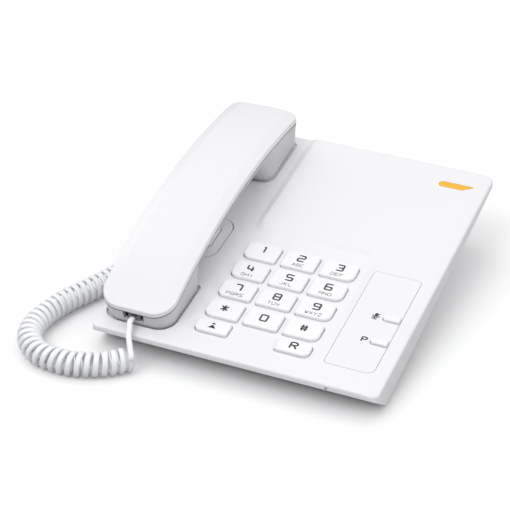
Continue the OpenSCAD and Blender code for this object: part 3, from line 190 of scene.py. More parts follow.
def make_camera():
    data = bpy.data.cameras.new("camera")
    data.sensor_width = SENSOR
    data.lens = SENSOR * FOCAL_PX / IMAGE_PX
    data.clip_end = 20
    level_part = cos(ELEVATION)
    forward = Vector((-sin(AZIMUTH) * level_part, cos(AZIMUTH) * level_part, -sin(ELEVATION)))
    bpy.context.scene.camera = add_object("camera", data, CAMERA_AT, forward)


make_camera()

# ---- materials


class Nodes:
    """A tree of shader nodes."""

    def __init__(self, owner):
        owner.use_nodes = True
        self.tree = owner.node_tree

    def add(self, kind, **sockets):
        node = self.tree.nodes.new("ShaderNode" + kind)
        self.fill(node, **sockets)
        return node

    def fill(self, node, **sockets):
        for name, value in sockets.items():
            node.inputs[name.replace("_", " ")].default_value = value

    def join(self, output, node, socket):
        self.tree.links.new(output, node.inputs[socket])


class Finish(Nodes):
    """A procedural material."""

    def __init__(self, name):
        self.material = bpy.data.materials.new(name)
        super().__init__(self.material)
        self.shader = self.tree.nodes["Principled BSDF"]
        self.place = self.add("TexCoord").outputs["Object"]

    def noise(self, scale, detail, roughness=0.5):
        node = self.add("TexNoise", Scale=scale, Detail=detail, Roughness=roughness)
        self.join(self.place, node, "Vector")
        return node.outputs["Fac"]

    def ramp(self, value, low, high, to_low=0.0, to_high=1.0):
        node = self.add("MapRange", From_Min=low, From_Max=high, To_Min=to_low, To_Max=to_high)
        self.join(value, node, "Value")
        return node.outputs["Result"]

    def colours(self, value, first, second):
        node = self.add("Mix")
        node.data_type = "RGBA"
        node.inputs[6].default_value = (*first, 1)
        node.inputs[7].default_value = (*second, 1)
        self.join(value, node, 0)
        self.join(node.outputs[2], self.shader, "Base Color")

    def gloss(self, pattern, low, high):
        self.join(self.ramp(pattern, 0.3, 0.7, low, high), self.shader, "Roughness")

    def bump(self, pattern, distance, strength):
        node = self.add("Bump", Distance=distance, Strength=strength)
        self.join(pattern, node, "Height")
        self.join(node.outputs["Normal"], self.shader, "Normal")


def plastic(name, colour, shade, gloss, grain_scale, grain_depth, **sockets):
    """Moulded plastic: faint drift of colour, uneven gloss and fine grain."""
    made = Finish(name)
    made.colours(made.ramp(made.noise(9, 3), 0.35, 0.65), colour, shade)
    made.gloss(made.noise(60, 4), *gloss)
    made.bump(made.noise(grain_scale, 3, 0.6), grain_depth, 0.35)
    made.fill(made.shader, **sockets)
    return made.material


def metal(name, colour, shade, gloss):
    made = Finish(name)
    made.colours(made.ramp(made.noise(140, 4), 0.3, 0.7), colour, shade)
    made.gloss(made.noise(420, 3), *gloss)
    made.bump(made.noise(1500, 2), 2e-5, 0.3)
    made.fill(made.shader, Metallic=1.0)
    return made.material


HOUSING = plastic("housing_plastic", (0.83, 0.83, 0.845), (0.82, 0.82, 0.835), (0.34, 0.44),
                  2600, 3e-5, IOR=1.46)
COVER = plastic("handset_plastic", (0.82, 0.82, 0.835), (0.81, 0.81, 0.825), (0.3, 0.35),
                3000, 2e-5, IOR=1.46)
# Painted shade: the lower shell is the cover's white plastic, darkened for the shade it lies in under
# the cover
SHADED_SHELL = plastic("handset_under_painted_shade", (0.62, 0.62, 0.64), (0.61, 0.61, 0.63), (0.34, 0.42),
                2800, 2e-5, IOR=1.46)
KEY = plastic("key_plastic", (0.88, 0.88, 0.89), (0.87, 0.87, 0.88), (0.3, 0.37), 3200, 2e-5, IOR=1.47)
TRAY = plastic("tray_plastic", (0.8, 0.8, 0.82), (0.78, 0.78, 0.8), (0.42, 0.52), 1800, 5e-5)
CORD = plastic("cord_pvc", (0.9, 0.9, 0.91), (0.88, 0.88, 0.89), (0.3, 0.42),
               1400, 4e-5, Subsurface_Weight=0.05)
PLUG = plastic("plug_plastic", (0.16, 0.16, 0.17), (0.18, 0.18, 0.19), (0.3, 0.36), 2400, 2e-5)
INK = plastic("print_ink", (0.03, 0.03, 0.037), (0.038, 0.038, 0.045), (0.45, 0.6), 5200, 1e-5)
# Painted shade: a dark sheet that stands for the shadow in the handset's seam groove
PAINTED_SEAM_SHADE = plastic("painted_seam_shade", (0.12, 0.12, 0.125), (0.11, 0.11, 0.115), (0.5, 0.6), 900, 1e-5)
RUBBER = plastic("rubber", (0.05, 0.05, 0.055), (0.065, 0.065, 0.07), (0.65, 0.8), 2200, 6e-5)
BLACK = plastic("black_plastic", (0.012, 0.012, 0.014), (0.018, 0.018, 0.02), (0.35, 0.5), 2400, 3e-5)
BOARD = plastic("circuit_board", (0.02, 0.12, 0.05), (0.03, 0.15, 0.07), (0.3, 0.45), 900, 3e-5)
STEEL = metal("steel", (0.56, 0.56, 0.58), (0.5, 0.5, 0.53), (0.25, 0.45))
LENS = plastic("amber_lens", (0.93, 0.42, 0.012), (0.95, 0.46, 0.018), (0.22, 0.3),
               700, 1e-5, Subsurface_Weight=0.1, Coat_Weight=0.15, Coat_Roughness=0.2)

NODE_FINISHES = {
    TRAY: ("lower_housing",),
    BLACK: ("line_jack", "base_cord_jack", "handset_jack", "hook_switch", "ringer", "receiver"),
    RUBBER: ("rubber_feet", "keypad_mat", "receiver_gasket", "microphone_boot"),
    STEEL: ("housing_screws", "board_screws", "handset_screws", "handset_weight", "microphone"),
    BOARD: ("main_board", "hook_board"),
    LENS: ("indicator_led",),
    PLUG: ("handset_plug", "base_plug"),
}


def dress_nodes():
    for material, names in NODE_FINISHES.items():
        for name in names:
            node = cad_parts[name]
            if not node.material_slots:
                node.data.materials.append(material)
            for place in node.material_slots:
                place.material = material


dress_nodes()

# ---- mesh helpers

AT_EDGE = 0.01
SHARP = radians(38)
BROAD_WEIGHT = 90  # how much more a broad face counts than its rounded edge
ROW_STEP = 0.866  # between rows of even triangles, in shares of their sides
LINE_CLEARANCE = 0.6  # least way from a line to a free point, in shares of the spacing
LEAST_R = 0.12
CORNERS = ((-1, -1), (1, -1), (1, 1), (-1, 1))  # in turn, from the front left


def shade(mesh):
    mesh.shade_smooth()
    mesh.set_sharp_from_angle(angle=SHARP)


def level(n):
    return lambda x, s: n


class Skin:
    """Points, rings and faces of one closed piece."""

    def __init__(self):
        self.points, self.faces = [], []

    def ring(self, places):
        first = len(self.points)
        self.points += [Vector(p) for p in places]
        return list(range(first, len(self.points)))

    def wall(self, *rings):
        for a, b in zip(rings, rings[1:]):
            n = len(a)
            self.faces += [(a[i], b[i], b[(i + 1) % n], a[(i + 1) % n]) for i in range(n)]

    def over(self, loop, height, drop=0.0, shift=0.0):
        """Ring over a flat loop, on a surface given by its height over the plain slope."""
        return self.ring([deck(x + shift, s, height(x, s) - drop) for x, s in loop])

    def sleeve(self, loop, *heights):
        """Straight wall round a flat loop."""
        rings = [self.over(loop, level(n)) for n in heights]
        self.wall(*rings)
        return rings

    def sheet(self, edges, height, spacing, lines=(), shift=0.0):
        """Fills the first (ring, flat loop) of edges on a surface; the others stay open."""
        loops = [loop for _, loop in edges]
        fixed = [i for ring, _ in edges for i in ring]
        coords, faces, sources = fill_area(loops, spacing, lines)
        index = []
        for c, source in zip(coords, sources):
            old = next((i for i in source if i < len(fixed)), None)
            if old is None:
                self.points.append(deck(c[0] + shift, c[1], height(c[0], c[1])))
                index.append(len(self.points) - 1)
            else:
                index.append(fixed[old])
        self.faces += [tuple(index[i] for i in f) for f in faces]

    def cap(self, ring):
        self.faces.append(tuple(ring))

    def build(self, name, material, slot, smooth_faces=True):
        mesh = bpy.data.meshes.new(name)
        mesh.from_pydata(self.points, [], self.faces)
        edit = bmesh.new()
        edit.from_mesh(mesh)
        bmesh.ops.remove_doubles(edit, verts=edit.verts, dist=1e-7)
        bmesh.ops.recalc_face_normals(edit, faces=edit.faces)
        edit.to_mesh(mesh)
        edit.free()
        if smooth_faces:
            shade(mesh)
        mesh.materials.append(material)
        piece = add_object(name, mesh)
        return piece


def even_normals(piece):
    """Keeps broad faces flat up to their rounded edges."""
    change = piece.modifiers.new("normals", "WEIGHTED_NORMAL")
    change.keep_sharp = True
    change.weight = BROAD_WEIGHT


def cut(piece, skin):
    """Takes the closed forms in skin out of a piece."""
    tool = skin.build("cutter", TRAY, "tray_white", False)
    change = piece.modifiers.new("cut", "BOOLEAN")
    change.operation = "DIFFERENCE"
    change.solver = "EXACT"
    change.object = tool
    graph = bpy.context.evaluated_depsgraph_get()
    mesh = bpy.data.meshes.new_from_object(piece.evaluated_get(graph))
    piece.modifiers.remove(change)
    piece.data = mesh
    bpy.data.objects.remove(tool)
    shade(mesh)
    while len(mesh.materials) > 1:
        mesh.materials.pop()


def inside(loop, x, s):
    hit = False
    for (ax, ay), (bx, by) in zip(loop, loop[1:] + loop[:1]):
        if (ay > s) != (by > s) and x < (bx - ax) * (s - ay) / (by - ay) + ax:
            hit = not hit
    return hit


def boxes(loops):
    return [(min(p[0] for p in loop), max(p[0] for p in loop),
             min(p[1] for p in loop), max(p[1] for p in loop)) for loop in loops]


def in_area(loops, limits, x, s):
    for k, (loop, box) in enumerate(zip(loops, limits)):
        near = box[0] <= x <= box[1] and box[2] <= s <= box[3]
        if (near and inside(loop, x, s)) != (k == 0):
            return False
    return True


def free_points(loops, limits, taken, spacing):
    """Even points inside an area, clear of the places that are taken."""
    tree = KDTree(len(taken))
    for i, p in enumerate(taken):
        tree.insert((p[0], p[1], 0), i)
    tree.balance()
    x0, x1, s0, s1 = limits[0]
    rows = int((s1 - s0) / (spacing * ROW_STEP)) + 1
    cols = int((x1 - x0) / spacing) + 1
    least = LINE_CLEARANCE * spacing
    made = []
    for r in range(rows):
        for c in range(cols):
            x = x0 + (c + 0.5 * (r % 2)) * spacing
            s = s0 + r * spacing * ROW_STEP
            if tree.find((x, s, 0))[2] > least and in_area(loops, limits, x, s):
                made.append((x, s))
    return made


def fill_area(loops, spacing, lines):
    """Triangles over the inside of the first loop, less the other loops."""
    points, edges = [], []
    for loop in loops:
        first, n = len(points), len(loop)
        points += loop
        edges += [(first + i, first + (i + 1) % n) for i in range(n)]
    for line in lines:
        first = len(points)
        points += line
        edges += [(first + i, first + i + 1) for i in range(len(line) - 1)]
    limits = boxes(loops)
    points += free_points(loops, limits, points, spacing)
    places = [Vector(p) for p in points]
    coords, _, faces, sources, _, _ = delaunay_2d_cdt(places, edges, [], 1, 1e-5)
    kept = []
    for f in faces:
        x, s = (sum(coords[i][k] for i in f) / 3 for k in (0, 1))
        if in_area(loops, limits, x, s):
            kept.append(f)
    used = sorted({i for f in kept for i in f})
    new = {old: k for k, old in enumerate(used)}
    return ([coords[i] for i in used], [tuple(new[i] for i in f) for f in kept],
            [sources[i] for i in used])


def arc(middle, radius, angles):
    return [(middle[0] + radius * cos(a), middle[1] + radius * sin(a)) for a in angles]


def circle(middle, radius, sides):
    return arc(middle, radius, [2 * pi * i / sides for i in range(sides)])


def between(a, b, count):
    """Even steps from one flat point towards another, without the second."""
    return [(mix(a[0], b[0], i / count), mix(a[1], b[1], i / count)) for i in range(count)]


def rounded(place, size, radii, grow=0.0, step=1.6, turns=6):
    """Loop round a rectangle, with a radius for each of the CORNERS."""
    half = (size[0] / 2 + grow, size[1] / 2 + grow)
    arcs = []
    for k, (sx, ss) in enumerate(CORNERS):
        r = max(LEAST_R, radii[k] + grow)
        middle = (place[0] + sx * (half[0] - r), place[1] + ss * (half[1] - r))
        angles = [radians(180 + 90 * k + 90 * i / turns) for i in range(turns + 1)]
        arcs.append(arc(middle, r, angles))
    loop = []
    for k in range(4):
        after = (k + 1) % 4
        count = max(1, round((size[k % 2] - radii[k] - radii[after]) / step))
        loop += arcs[k] + between(arcs[k][-1], arcs[after][0], count)[1:]
    return loop


def box_loop(box, grow, step=1.6, turns=6):
    return rounded(box[:2], box[2:4], (box[4],) * 4, grow, step, turns)


def key_loop(kind, place, grow=0.0):
    return rounded(place, *KEY_SIZES[kind], grow)


def quarter(steps):
    """Angles from zero to a right angle."""
    return [pi / 2 * i / steps for i in range(steps + 1)]


def fillet_steps(radius, count):
    """(how far in, how far down) from the flat top to the wall."""
    return [(radius * (1 - sin(a)), radius * (1 - cos(a))) for a in quarter(count)]


# ---- curly cord

COIL_ROUTE = [
    (-0.06, -0.115), (-0.066, -0.121), (-0.073, -0.126), (-0.082, -0.13), (-0.091, -0.132),
    (-0.1, -0.132), (-0.1105, -0.13), (-0.119, -0.124), (-0.125, -0.1155), (-0.127, -0.105),
    (-0.1265, -0.095), (-0.1245, -0.085), (-0.1215, -0.0755), (-0.1175, -0.0665), (-0.1135, -0.0575),
    (-0.11, -0.049), (-0.1065, -0.0405), (-0.104, -0.0325), (-0.102, -0.025), (-0.1005, -0.018),
]
CORD_W, CORD_T = 0.0033, 0.0024
SECTION_POINTS, SECTION_POWER = 14, 0.72  # a power under 1 squares the flat cord's corners
CURLS, CURL_RINGS = 37, 24
COIL_R, COIL_Z = 0.0063, 0.0076
STRAIGHT = 0.0034
HEADING_REACH = 0.006
SPLIT_TURN = 9  # curl where the cord's front part meets its back part
HANDSET_EXIT = deck(HANDSET_X, PLUG_S - PLUG_STUB, PLUG_N)
BASE_EXIT = Vector((-0.0965, -0.005, 0.023412))
FRONT_LEAD = [(-0.0635, -0.105, 0.0225), (-0.0615, -0.110, 0.0195)]
BACK_LEAD = [(-0.1035, -0.0055, 0.0228), (-0.106, -0.0085, 0.0208), (-0.104, -0.0125, 0.0186),
             (-0.0985, -0.0155, 0.0172)]


def spline(points, steps):
    """Smooth line through points, in even steps from each to the next."""
    line = []
    at = [Vector(p) for p in points]
    at = [2 * at[0] - at[1], *at, 2 * at[-1] - at[-2]]
    for a, b, c, d in zip(at, at[1:], at[2:], at[3:]):
        for t in [j / steps for j in range(steps)]:
            line.append(0.5 * (2 * b + (c - a) * t + (2 * a - 5 * b + 4 * c - d) * t * t
                               + (3 * b - a - 3 * c + d) * t ** 3))
    return line + [at[-2]]


COIL_LINE = spline(COIL_ROUTE, 4)
COIL_SUMS = [0.0]
for first, second in zip(COIL_LINE, COIL_LINE[1:]):
    COIL_SUMS.append(COIL_SUMS[-1] + (second - first).length)
COIL_LEN = COIL_SUMS[-1]


def line_at(d):
    i = max(k for k in range(len(COIL_LINE) - 1) if COIL_SUMS[k] <= d)
    share = (d - COIL_SUMS[i]) / (COIL_SUMS[i + 1] - COIL_SUMS[i])
    return COIL_LINE[i].lerp(COIL_LINE[i + 1], share)


def heading_at(d):
    ahead, behind = min(COIL_LEN, d + HEADING_REACH), max(0, d - HEADING_REACH)
    return (line_at(ahead) - line_at(behind)).normalized()


def curl(turn):
    """Middle point of the coil's wire at a turn, with its wide direction."""
    d = COIL_LEN * turn / CURLS
    at, h, a = line_at(d), heading_at(d), -2 * pi * turn
    across = COIL_R * cos(a)
    middle = Vector((at.x - across * h.y, at.y + across * h.x, COIL_Z + COIL_R * sin(a)))
    return middle, Vector((h.x, h.y, 0))


def lead(start, out, route, wide, end):
    """Lead from a plug to the coil: out is the plug's way out, end the coil's last place."""
    up = Vector((0, 0, STRAIGHT))
    line = spline([start, start + out * STRAIGHT, *route, end[0] + 2 * up, end[0] + up], 8)
    return [(p, wide.lerp(end[1], i / (len(line) - 1))) for i, p in enumerate(line)]


def cord_stations():
    """Middle points of the cord from handset to base, each with its wide direction."""
    turns = [i / CURL_RINGS for i in range(int((CURLS - 0.5) * CURL_RINGS) + 1)]
    coil = [curl(t) for t in turns]
    slope = Vector((0, -cos(TILT), -sin(TILT)))
    front = lead(HANDSET_EXIT, slope, FRONT_LEAD, Vector((-1, 0, 0)), coil[0])
    back = lead(BASE_EXIT, Vector((-1, 0, 0)), BACK_LEAD, Vector((0, 1, 0)), coil[-1])
    split = len(front) + SPLIT_TURN * CURL_RINGS
    return front + coil + back[::-1], split


def squared(share, width):
    return copysign(abs(share) ** SECTION_POWER, share) * width / 2


def cord_section():
    """Rounded flat section: across the wide way and the thin way."""
    return [(squared(c, CORD_W), squared(s, CORD_T)) for c, s in circle((0, 0), 1, SECTION_POINTS)]


def cord_rings(stations):
    rings = []
    section = cord_section()
    for i, (p, wide) in enumerate(stations):
        a = stations[max(0, i - 1)][0]
        b = stations[min(len(stations) - 1, i + 1)][0]
        along = (b - a).normalized()
        w = (wide - along * wide.dot(along)).normalized()
        t = along.cross(w)
        rings.append([p + w * u + t * v for u, v in section])
    return rings


def cord_piece(name, rings):
    skin = Skin()
    made = [skin.ring(r) for r in rings]
    skin.wall(*made)
    skin.cap(made[0])
    skin.cap(made[-1])
    return skin.build(name, CORD, "cord_white")


def make_cord():
    stations, split = cord_stations()
    rings = cord_rings(stations)
    front = cord_piece("cord_front", rings[:split + 1])
    back = cord_piece("cord_back", rings[split:])
    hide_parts("handset_lead", "curly_cord")
    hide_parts("base_lead")
    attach(back, "base")
    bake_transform(front)


make_cord()

# ---- upper housing


def corner_distance(u, v, r):
    """Distance to the rounded corner of a quadrant: below zero where both are over zero."""
    a, b = u - r, v - r
    if a > 0 and b > 0:
        return -min(a, b) - r
    return hypot(min(a, 0), min(b, 0)) - r


def zone_distance(x, s):
    """Below zero inside the lowered keypad and cradle field."""
    plateau = corner_distance(x - PLATEAU_X, s - PLATEAU_S, PLATEAU_R)
    if x < FIELD_X:
        return -plateau
    return corner_distance(RECESS_X - x, PLATEAU_S - s, RECESS_R)


def box_distance(x, s, box):
    cx, cs, w, d, r = box
    qx, qs = abs(x - cx) - w / 2 + r, abs(s - cs) - d / 2 + r
    return hypot(max(qx, 0), max(qs, 0)) + min(max(qx, qs), 0) - r


def ramp_rise(d):
    """Share of the step that the ramp has climbed: straight, with a soft foot and head."""
    t, soft = d / RAMP, RAMP_SOFT
    if t <= -soft or t >= 1 + soft:
        return 0.0 if t < 0.5 else 1.0
    if t < soft:
        return (t + soft) ** 2 / (4 * soft)
    if t > 1 - soft:
        return 1 - (1 + soft - t) ** 2 / (4 * soft)
    return t


def deck_height(x, s):
    """Height of the deck's surface over the plain slope."""
    over = abs(x) - (BASE_W / 2 - ROLL_W)
    roll = sqrt(ROLL_R ** 2 - over ** 2) - ROLL_R if over > 0 else 0.0
    lowered = STEP_H * held(s / PLATEAU_S, 0.0, 1.0)
    n = min(roll, -lowered * (1 - ramp_rise(zone_distance(x, s))))
    foot = box_distance(x, s, ISLAND)
    groove = smooth(GROOVE_HIGH, GROOVE_LOW, abs(foot - GROOVE_AT))
    n = mix(n, ISLAND_TOP, smooth(STEP_SOFT, -STEP_SOFT, foot)) - ISLAND_GROOVE * groove
    return n - LABEL_DEPTH * smooth(STEP_SOFT, -STEP_SOFT, box_distance(x, s, LABEL))


def skirt_edge(u):
    if u < UNDERCUT_D:
        return FRONT_H - LIP_H - u * (FRONT_H - LIP_H - SKIRT_LOW) / UNDERCUT_D
    rise = (BACK_H - BACK_LIP_H - SKIRT_LOW) / (BASE_D - SKIRT_FLAT_END)
    return SKIRT_LOW + max(0.0, u - SKIRT_FLAT_END) * rise


def ceiling(u):
    return FRONT_H + u * tan(TILT) - DECK_T / cos(TILT)


def base_loop(grow):
    return rounded((0, DECK_LEN / 2), (BASE_W, DECK_LEN), (CORNER_R,) * 4, grow, 1.5, 8)


def upright(loop, bottom):
    """The places of a flat loop straight below the deck's edge."""
    places = [(x, s * cos(TILT)) for x, s in loop]
    return [Vector((x, u - BASE_D / 2, bottom(x, u))) * MM for x, u in places]


def wall_bottom(x, u):
    if abs(x) > BASE_W / 2 - SKIRT_T:
        return skirt_edge(u)
    return max(skirt_edge(u), ceiling(u))


def inner_bottom(x, u):
    if abs(x) > BASE_W / 2 - SKIRT_T - 0.5:
        return min(skirt_edge(u), ceiling(u))
    return ceiling(u) - 0.05


def edged_wall(skin, loop_of, top, edge, bottom, way=-1, count=3):
    """Rounded edge and wall of a piece, or with way 1 of a hole: upper and lower border."""
    rings = [skin.over(loop_of(way * inward), top, down)
             for inward, down in fillet_steps(edge, count)]
    rings.append(skin.over(loop_of(0), level(bottom)))
    skin.wall(*rings)
    return (rings[0], loop_of(way * edge)), (rings[-1], loop_of(0))


def aperture(skin, loop_of, edge, bottom):
    return edged_wall(skin, loop_of, deck_height, edge, bottom, 1)


def cup_loop(start, end, radii, grow):
    less = 2 * CUP_DRAFT - 2 * WELL_GAP
    size = (2 * HANDSET_HALF - less, end - start - less)
    return rounded((HANDSET_X, (start + end) / 2), size, radii, grow)


def panel_loop(grow):
    return rounded(PANEL[:2], PANEL[2:], PANEL_RADII, grow)


def lens_loop(grow):
    r = LENS_D / 2 + grow
    mx, far = LENS_LEFT + LENS_D / 2, LENS_RIGHT + grow
    left = arc((mx, LENS_S), r, [radians(90 + 15 * i) for i in range(13)])
    corners = [left[-1], (LENS_RIGHT - LENS_TIP, LENS_S - r), (far, LENS_S + LENS_D / 3),
               (far, LENS_S + r), left[0]]
    loop = left[:-1]
    for a, b, count in zip(corners, corners[1:], (8, 5, 1, 11)):
        loop += between(a, b, count)
    return loop


def plateau_line(d):
    """Line at a distance from the field's border, over zero on the plateau."""
    px, ps, rx = PLATEAU_X + d, PLATEAU_S + d, RECESS_X + d
    outer, inner = PLATEAU_R - d, RECESS_R + d
    back, front = DECK_LEN - 2.0, 2.0
    line = between((px, back), (px, ps + outer), 40)
    line += [(px + outer * (1 - cos(a)), ps + outer * (1 - sin(a))) for a in quarter(10)[:-1]]
    line += between((px + outer, ps), (rx - inner, ps), 44)
    line += [(rx - inner + inner * sin(a), ps - inner + inner * cos(a)) for a in quarter(12)[:-1]]
    return line + between((rx, ps - inner), (rx, front), 60) + [(rx, front)]


def housing_sides(skin):
    """Rim, skirt and inner wall: returns the borders of the deck and its underside."""
    outer = [skin.over(base_loop(-inward), deck_height, down)
             for inward, down in fillet_steps(EDGE_R, 3)]
    for i, (_, s) in zip(outer[-1], base_loop(0)):
        if min(s, DECK_LEN - s) < AT_EDGE:
            skin.points[i].y = copysign(BASE_D / 2 * MM, s - DECK_LEN / 2)
    low = skin.ring(upright(base_loop(0), wall_bottom))
    inner_loop = base_loop(-SKIRT_T)
    inner_low = skin.ring(upright(inner_loop, inner_bottom))
    under = skin.over(inner_loop, level(-DECK_T))
    skin.wall(*outer, low, inner_low, under)
    return (outer[0], base_loop(-EDGE_R)), (under, inner_loop)


def key_openings(skin, keys, edge, bottom):
    """Holes for keys, each as its upper and its lower border."""
    return [aperture(skin, lambda g: key_loop(kind, place, KEY_GAP + g), edge, bottom)
            for _, kind, place, *_ in keys]


def cup_well(skin, start, end, radii):
    """Well under a cup of the handset, with its tub below the deck: returns their borders."""
    top, floor = aperture(skin, lambda g: cup_loop(start, end, radii, g), WELL_EDGE, WELL_FLOOR)
    skin.sheet([floor], level(WELL_FLOOR), 8)
    loop = cup_loop(start, end, radii, TUB_T)
    upper, lower = skin.sleeve(loop, -DECK_T, WELL_FLOOR - TUB_T)
    skin.sheet([(lower, loop)], level(WELL_FLOOR - TUB_T), 8)
    return top, (upper, loop)


def panel_pocket(skin):
    """Side panel's pocket: returns its border and those of its key holes underneath."""
    top, floor = aperture(skin, lambda g: panel_loop(FIT_GAP + g), POCKET_EDGE, -PANEL_T)
    floors, unders = [floor], []
    for _, kind, place, *_ in PANEL_KEYS:
        hole = key_loop(kind, place, KEY_GAP)
        upper, lower = skin.sleeve(hole, -PANEL_T, -DECK_T)
        floors.append((upper, hole))
        unders.append((lower, hole))
    skin.sheet(floors, level(-PANEL_T), 8)
    return top, unders


def make_housing():
    skin = Skin()
    borders = [
        housing_sides(skin),
        *key_openings(skin, DECK_KEYS, HOLE_EDGE, -DECK_T),
        aperture(skin, lambda g: box_loop(PLUNGER, SLOT_GAP + g), SLOT_EDGE, -DECK_T),
        cup_well(skin, HANDSET_S, CUP_END, (MOUTH_WELL_R,) * 2 + (MOUTH_CUP_R,) * 2),
        cup_well(skin, EAR_START, HANDSET_END, (EAR_CUP_R,) * 2 + (EAR_WELL_R,) * 2),
    ]
    tops, unders = map(list, zip(*borders))
    panel_top, panel_unders = panel_pocket(skin)
    lens_top, lens_floor = aperture(skin, lambda g: lens_loop(FIT_GAP + g), SMALL_EDGE, -PANEL_T)
    skin.sheet([lens_floor], level(-PANEL_T), 8)
    skin.sheet(tops + [panel_top, lens_top], deck_height, 1.5, deck_lines())
    skin.sheet(unders + panel_unders, level(-DECK_T), 12)
    for point in skin.points:
        point.y = held(point.y, -BASE_D / 2 * MM, BASE_D / 2 * MM)
    piece = skin.build("deck_housing", HOUSING, "housing_white")
    cut(piece, housing_openings())
    even_normals(piece)
    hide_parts("upper_housing")
    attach(piece, "base")


def housing_openings():
    """Small hole in the front lip and the cord socket's opening in the left skirt."""
    made = Skin()
    x, z, radius, deep = FRONT_HOLE
    rings = [made.ring([Vector((u, y, v)) * MM for u, v in circle((x, z), radius, 20)])
             for y in (-BASE_D / 2 - 1, -BASE_D / 2 + deep)]
    made.wall(*rings)
    y, z, wide, high = CORD_SOCKET
    sides = [made.ring([Vector((x, y + u * wide / 2, z + v * high / 2)) * MM for u, v in CORNERS])
             for x in (-BASE_W / 2 - 1, -BASE_W / 2 + SKIRT_T + 0.5)]
    made.wall(*sides)
    for ring in rings + sides:
        made.cap(ring)
    return made


def deck_lines():
    """Lines for the deck's triangles: the plateau's slope, the island and the strip."""
    shares = (-RAMP_SOFT, 0.0, RAMP_SOFT, 0.5, 1 - RAMP_SOFT, 1.0, 1 + RAMP_SOFT)
    ways = (GROOVE_HIGH, GROOVE_LOW, 0.0, -GROOVE_LOW, -GROOVE_HIGH)
    rings = [box_loop(ISLAND, GROOVE_AT + way, 1.2, 10) for way in ways]
    rings += [box_loop(LABEL, grow, 1.5, 3) for grow in (STEP_SOFT, -STEP_SOFT)]
    return [plateau_line(RAMP * t) for t in shares] + [ring + ring[:1] for ring in rings]


make_housing()

# ---- keys, panel and lens


def button(name, loop_of, top, edge, bottom, material, slot, node, body, spacing=6):
    """Closed piece with a rounded top edge, a straight wall and a flat bottom."""
    skin = Skin()
    upper, lower = edged_wall(skin, loop_of, top, edge, bottom, count=4)
    skin.sheet([upper], top, spacing)
    skin.sheet([lower], level(bottom), 20)
    piece = skin.build(name, material, slot)
    even_normals(piece)
    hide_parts(node)
    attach(piece, body)


def key_top(kind, place):
    if kind == "side":
        return SIDE_KEY_RISE
    return KEY_RISE - STEP_H * min(1.0, place[1] / PLATEAU_S)


def make_keys():
    for name, kind, place, *_ in KEYS:
        button(name + "_cap", lambda g: key_loop(kind, place, g), level(key_top(kind, place)),
               KEY_EDGE, -KEY_FOOT, KEY, "key_white", name, name + "_button")


make_keys()


def make_panel():
    skin = Skin()
    outline = lambda g: panel_loop(g - PANEL_SEAM)
    borders = [edged_wall(skin, outline, deck_height, PANEL_EDGE, -PANEL_T)]
    borders += key_openings(skin, PANEL_KEYS, SMALL_EDGE, -PANEL_T)
    tops, unders = zip(*borders)
    skin.sheet(tops, deck_height, 2.5)
    skin.sheet(unders, level(-PANEL_T), 8)
    piece = skin.build("function_panel", HOUSING, "housing_white")
    even_normals(piece)
    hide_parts("side_panel")
    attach(piece, "base")


make_panel()


def lens_height(x, s):
    """Low crown across the lens, over the rolled edge of the deck."""
    across = (s - LENS_S) / (LENS_D / 2)
    return deck_height(x, s) + LENS_RISE + LENS_CROWN * max(0.0, 1 - across * across)


button("amber_lens", lens_loop, lens_height, 0.35, -PANEL_T, LENS, "lens_orange",
       "indicator_lens", "base", 1.2)


def seam(s):
    """Height of the parting line between the handset's two shells."""
    return ARCH_H - (s - ARCH_S) ** 2 / (2 * ARCH_R)


PLUNGER_TOP = seam(ISLAND_S) - GRIP_T - 0.8  # 0.8 below the handset's grip
PLUNGER_LOW = -DECK_T - 5.0  # foot of its flange at rest
PLUNGER_R, PLUNGER_EDGE = 30.0, 0.8  # crown of its top along the handset, its edge


def plunger_height(x, s):
    return PLUNGER_TOP - PLUNGER_R + sqrt(PLUNGER_R ** 2 - (s - ISLAND_S) ** 2)


button("hook_button", lambda g: box_loop(PLUNGER, g), plunger_height, PLUNGER_EDGE, PLUNGER_LOW,
       HOUSING, "housing_white", "hook_plunger", "hook", 1.5)

# ---- handset


def corner_shift(x, r):
    """How far a corner of radius r draws back the end of a cup at x."""
    over = held(abs(x) - (HANDSET_HALF - CUP_DRAFT - r), 0.0, r)
    return r - sqrt(r * r - over * over)


def cup_share(x, s):
    """1 in the two cups, 0 along the grip."""
    mouth = smooth(CUP_END - CUP_TURN, CUP_END + CUP_TURN, s + corner_shift(x, MOUTH_CUP_R))
    ear = smooth(EAR_START - CUP_TURN, EAR_START + CUP_TURN, s - corner_shift(x, EAR_CUP_R))
    return 1 - mouth + ear


def under_side(c, s):
    return -CUP_DEPTH * c + (seam(s) - GRIP_T) * (1 - c)


def stations():
    """Places along the straight sides, closer where the cups meet the grip."""
    stops = (HANDSET_S + MOUTH_R, CUP_END - CUP_SPAN, CUP_END + CUP_SPAN,
             EAR_START - CUP_SPAN, EAR_START + CUP_SPAN, HANDSET_END - EAR_R)
    made = []
    for a, b, count in zip(stops, stops[1:], (12, 24, 44, 24, 14)):
        made += [mix(a, b, i / count) for i in range(count)]
    return made[1:]


def end_corner(r, s, start):
    """Rounded corner of the outline, with its middle at s."""
    angles = [start + a for a in quarter(14)]
    places = arc((HANDSET_HALF - r, s), r, angles)
    return [(*place, cos(a), sin(a)) for place, a in zip(places, angles)]


def half_outline(steps=8):
    """Right half of the outline: x, s and the outward direction."""
    made = [((HANDSET_HALF - MOUTH_R) * k / steps, HANDSET_S, 0, -1) for k in range(1, steps)]
    made += end_corner(MOUTH_R, HANDSET_S + MOUTH_R, -pi / 2)
    made += [(HANDSET_HALF, s, 1, 0) for s in stations()]
    made += end_corner(EAR_R, HANDSET_END - EAR_R, 0.0)
    made += [((HANDSET_HALF - EAR_R) * k / steps, HANDSET_END, 0, 1)
             for k in range(steps - 1, 0, -1)]
    return made


HALF = half_outline()
OUTLINE = HALF + [(-x, s, -nx, ns) for x, s, nx, ns in HALF[::-1]]


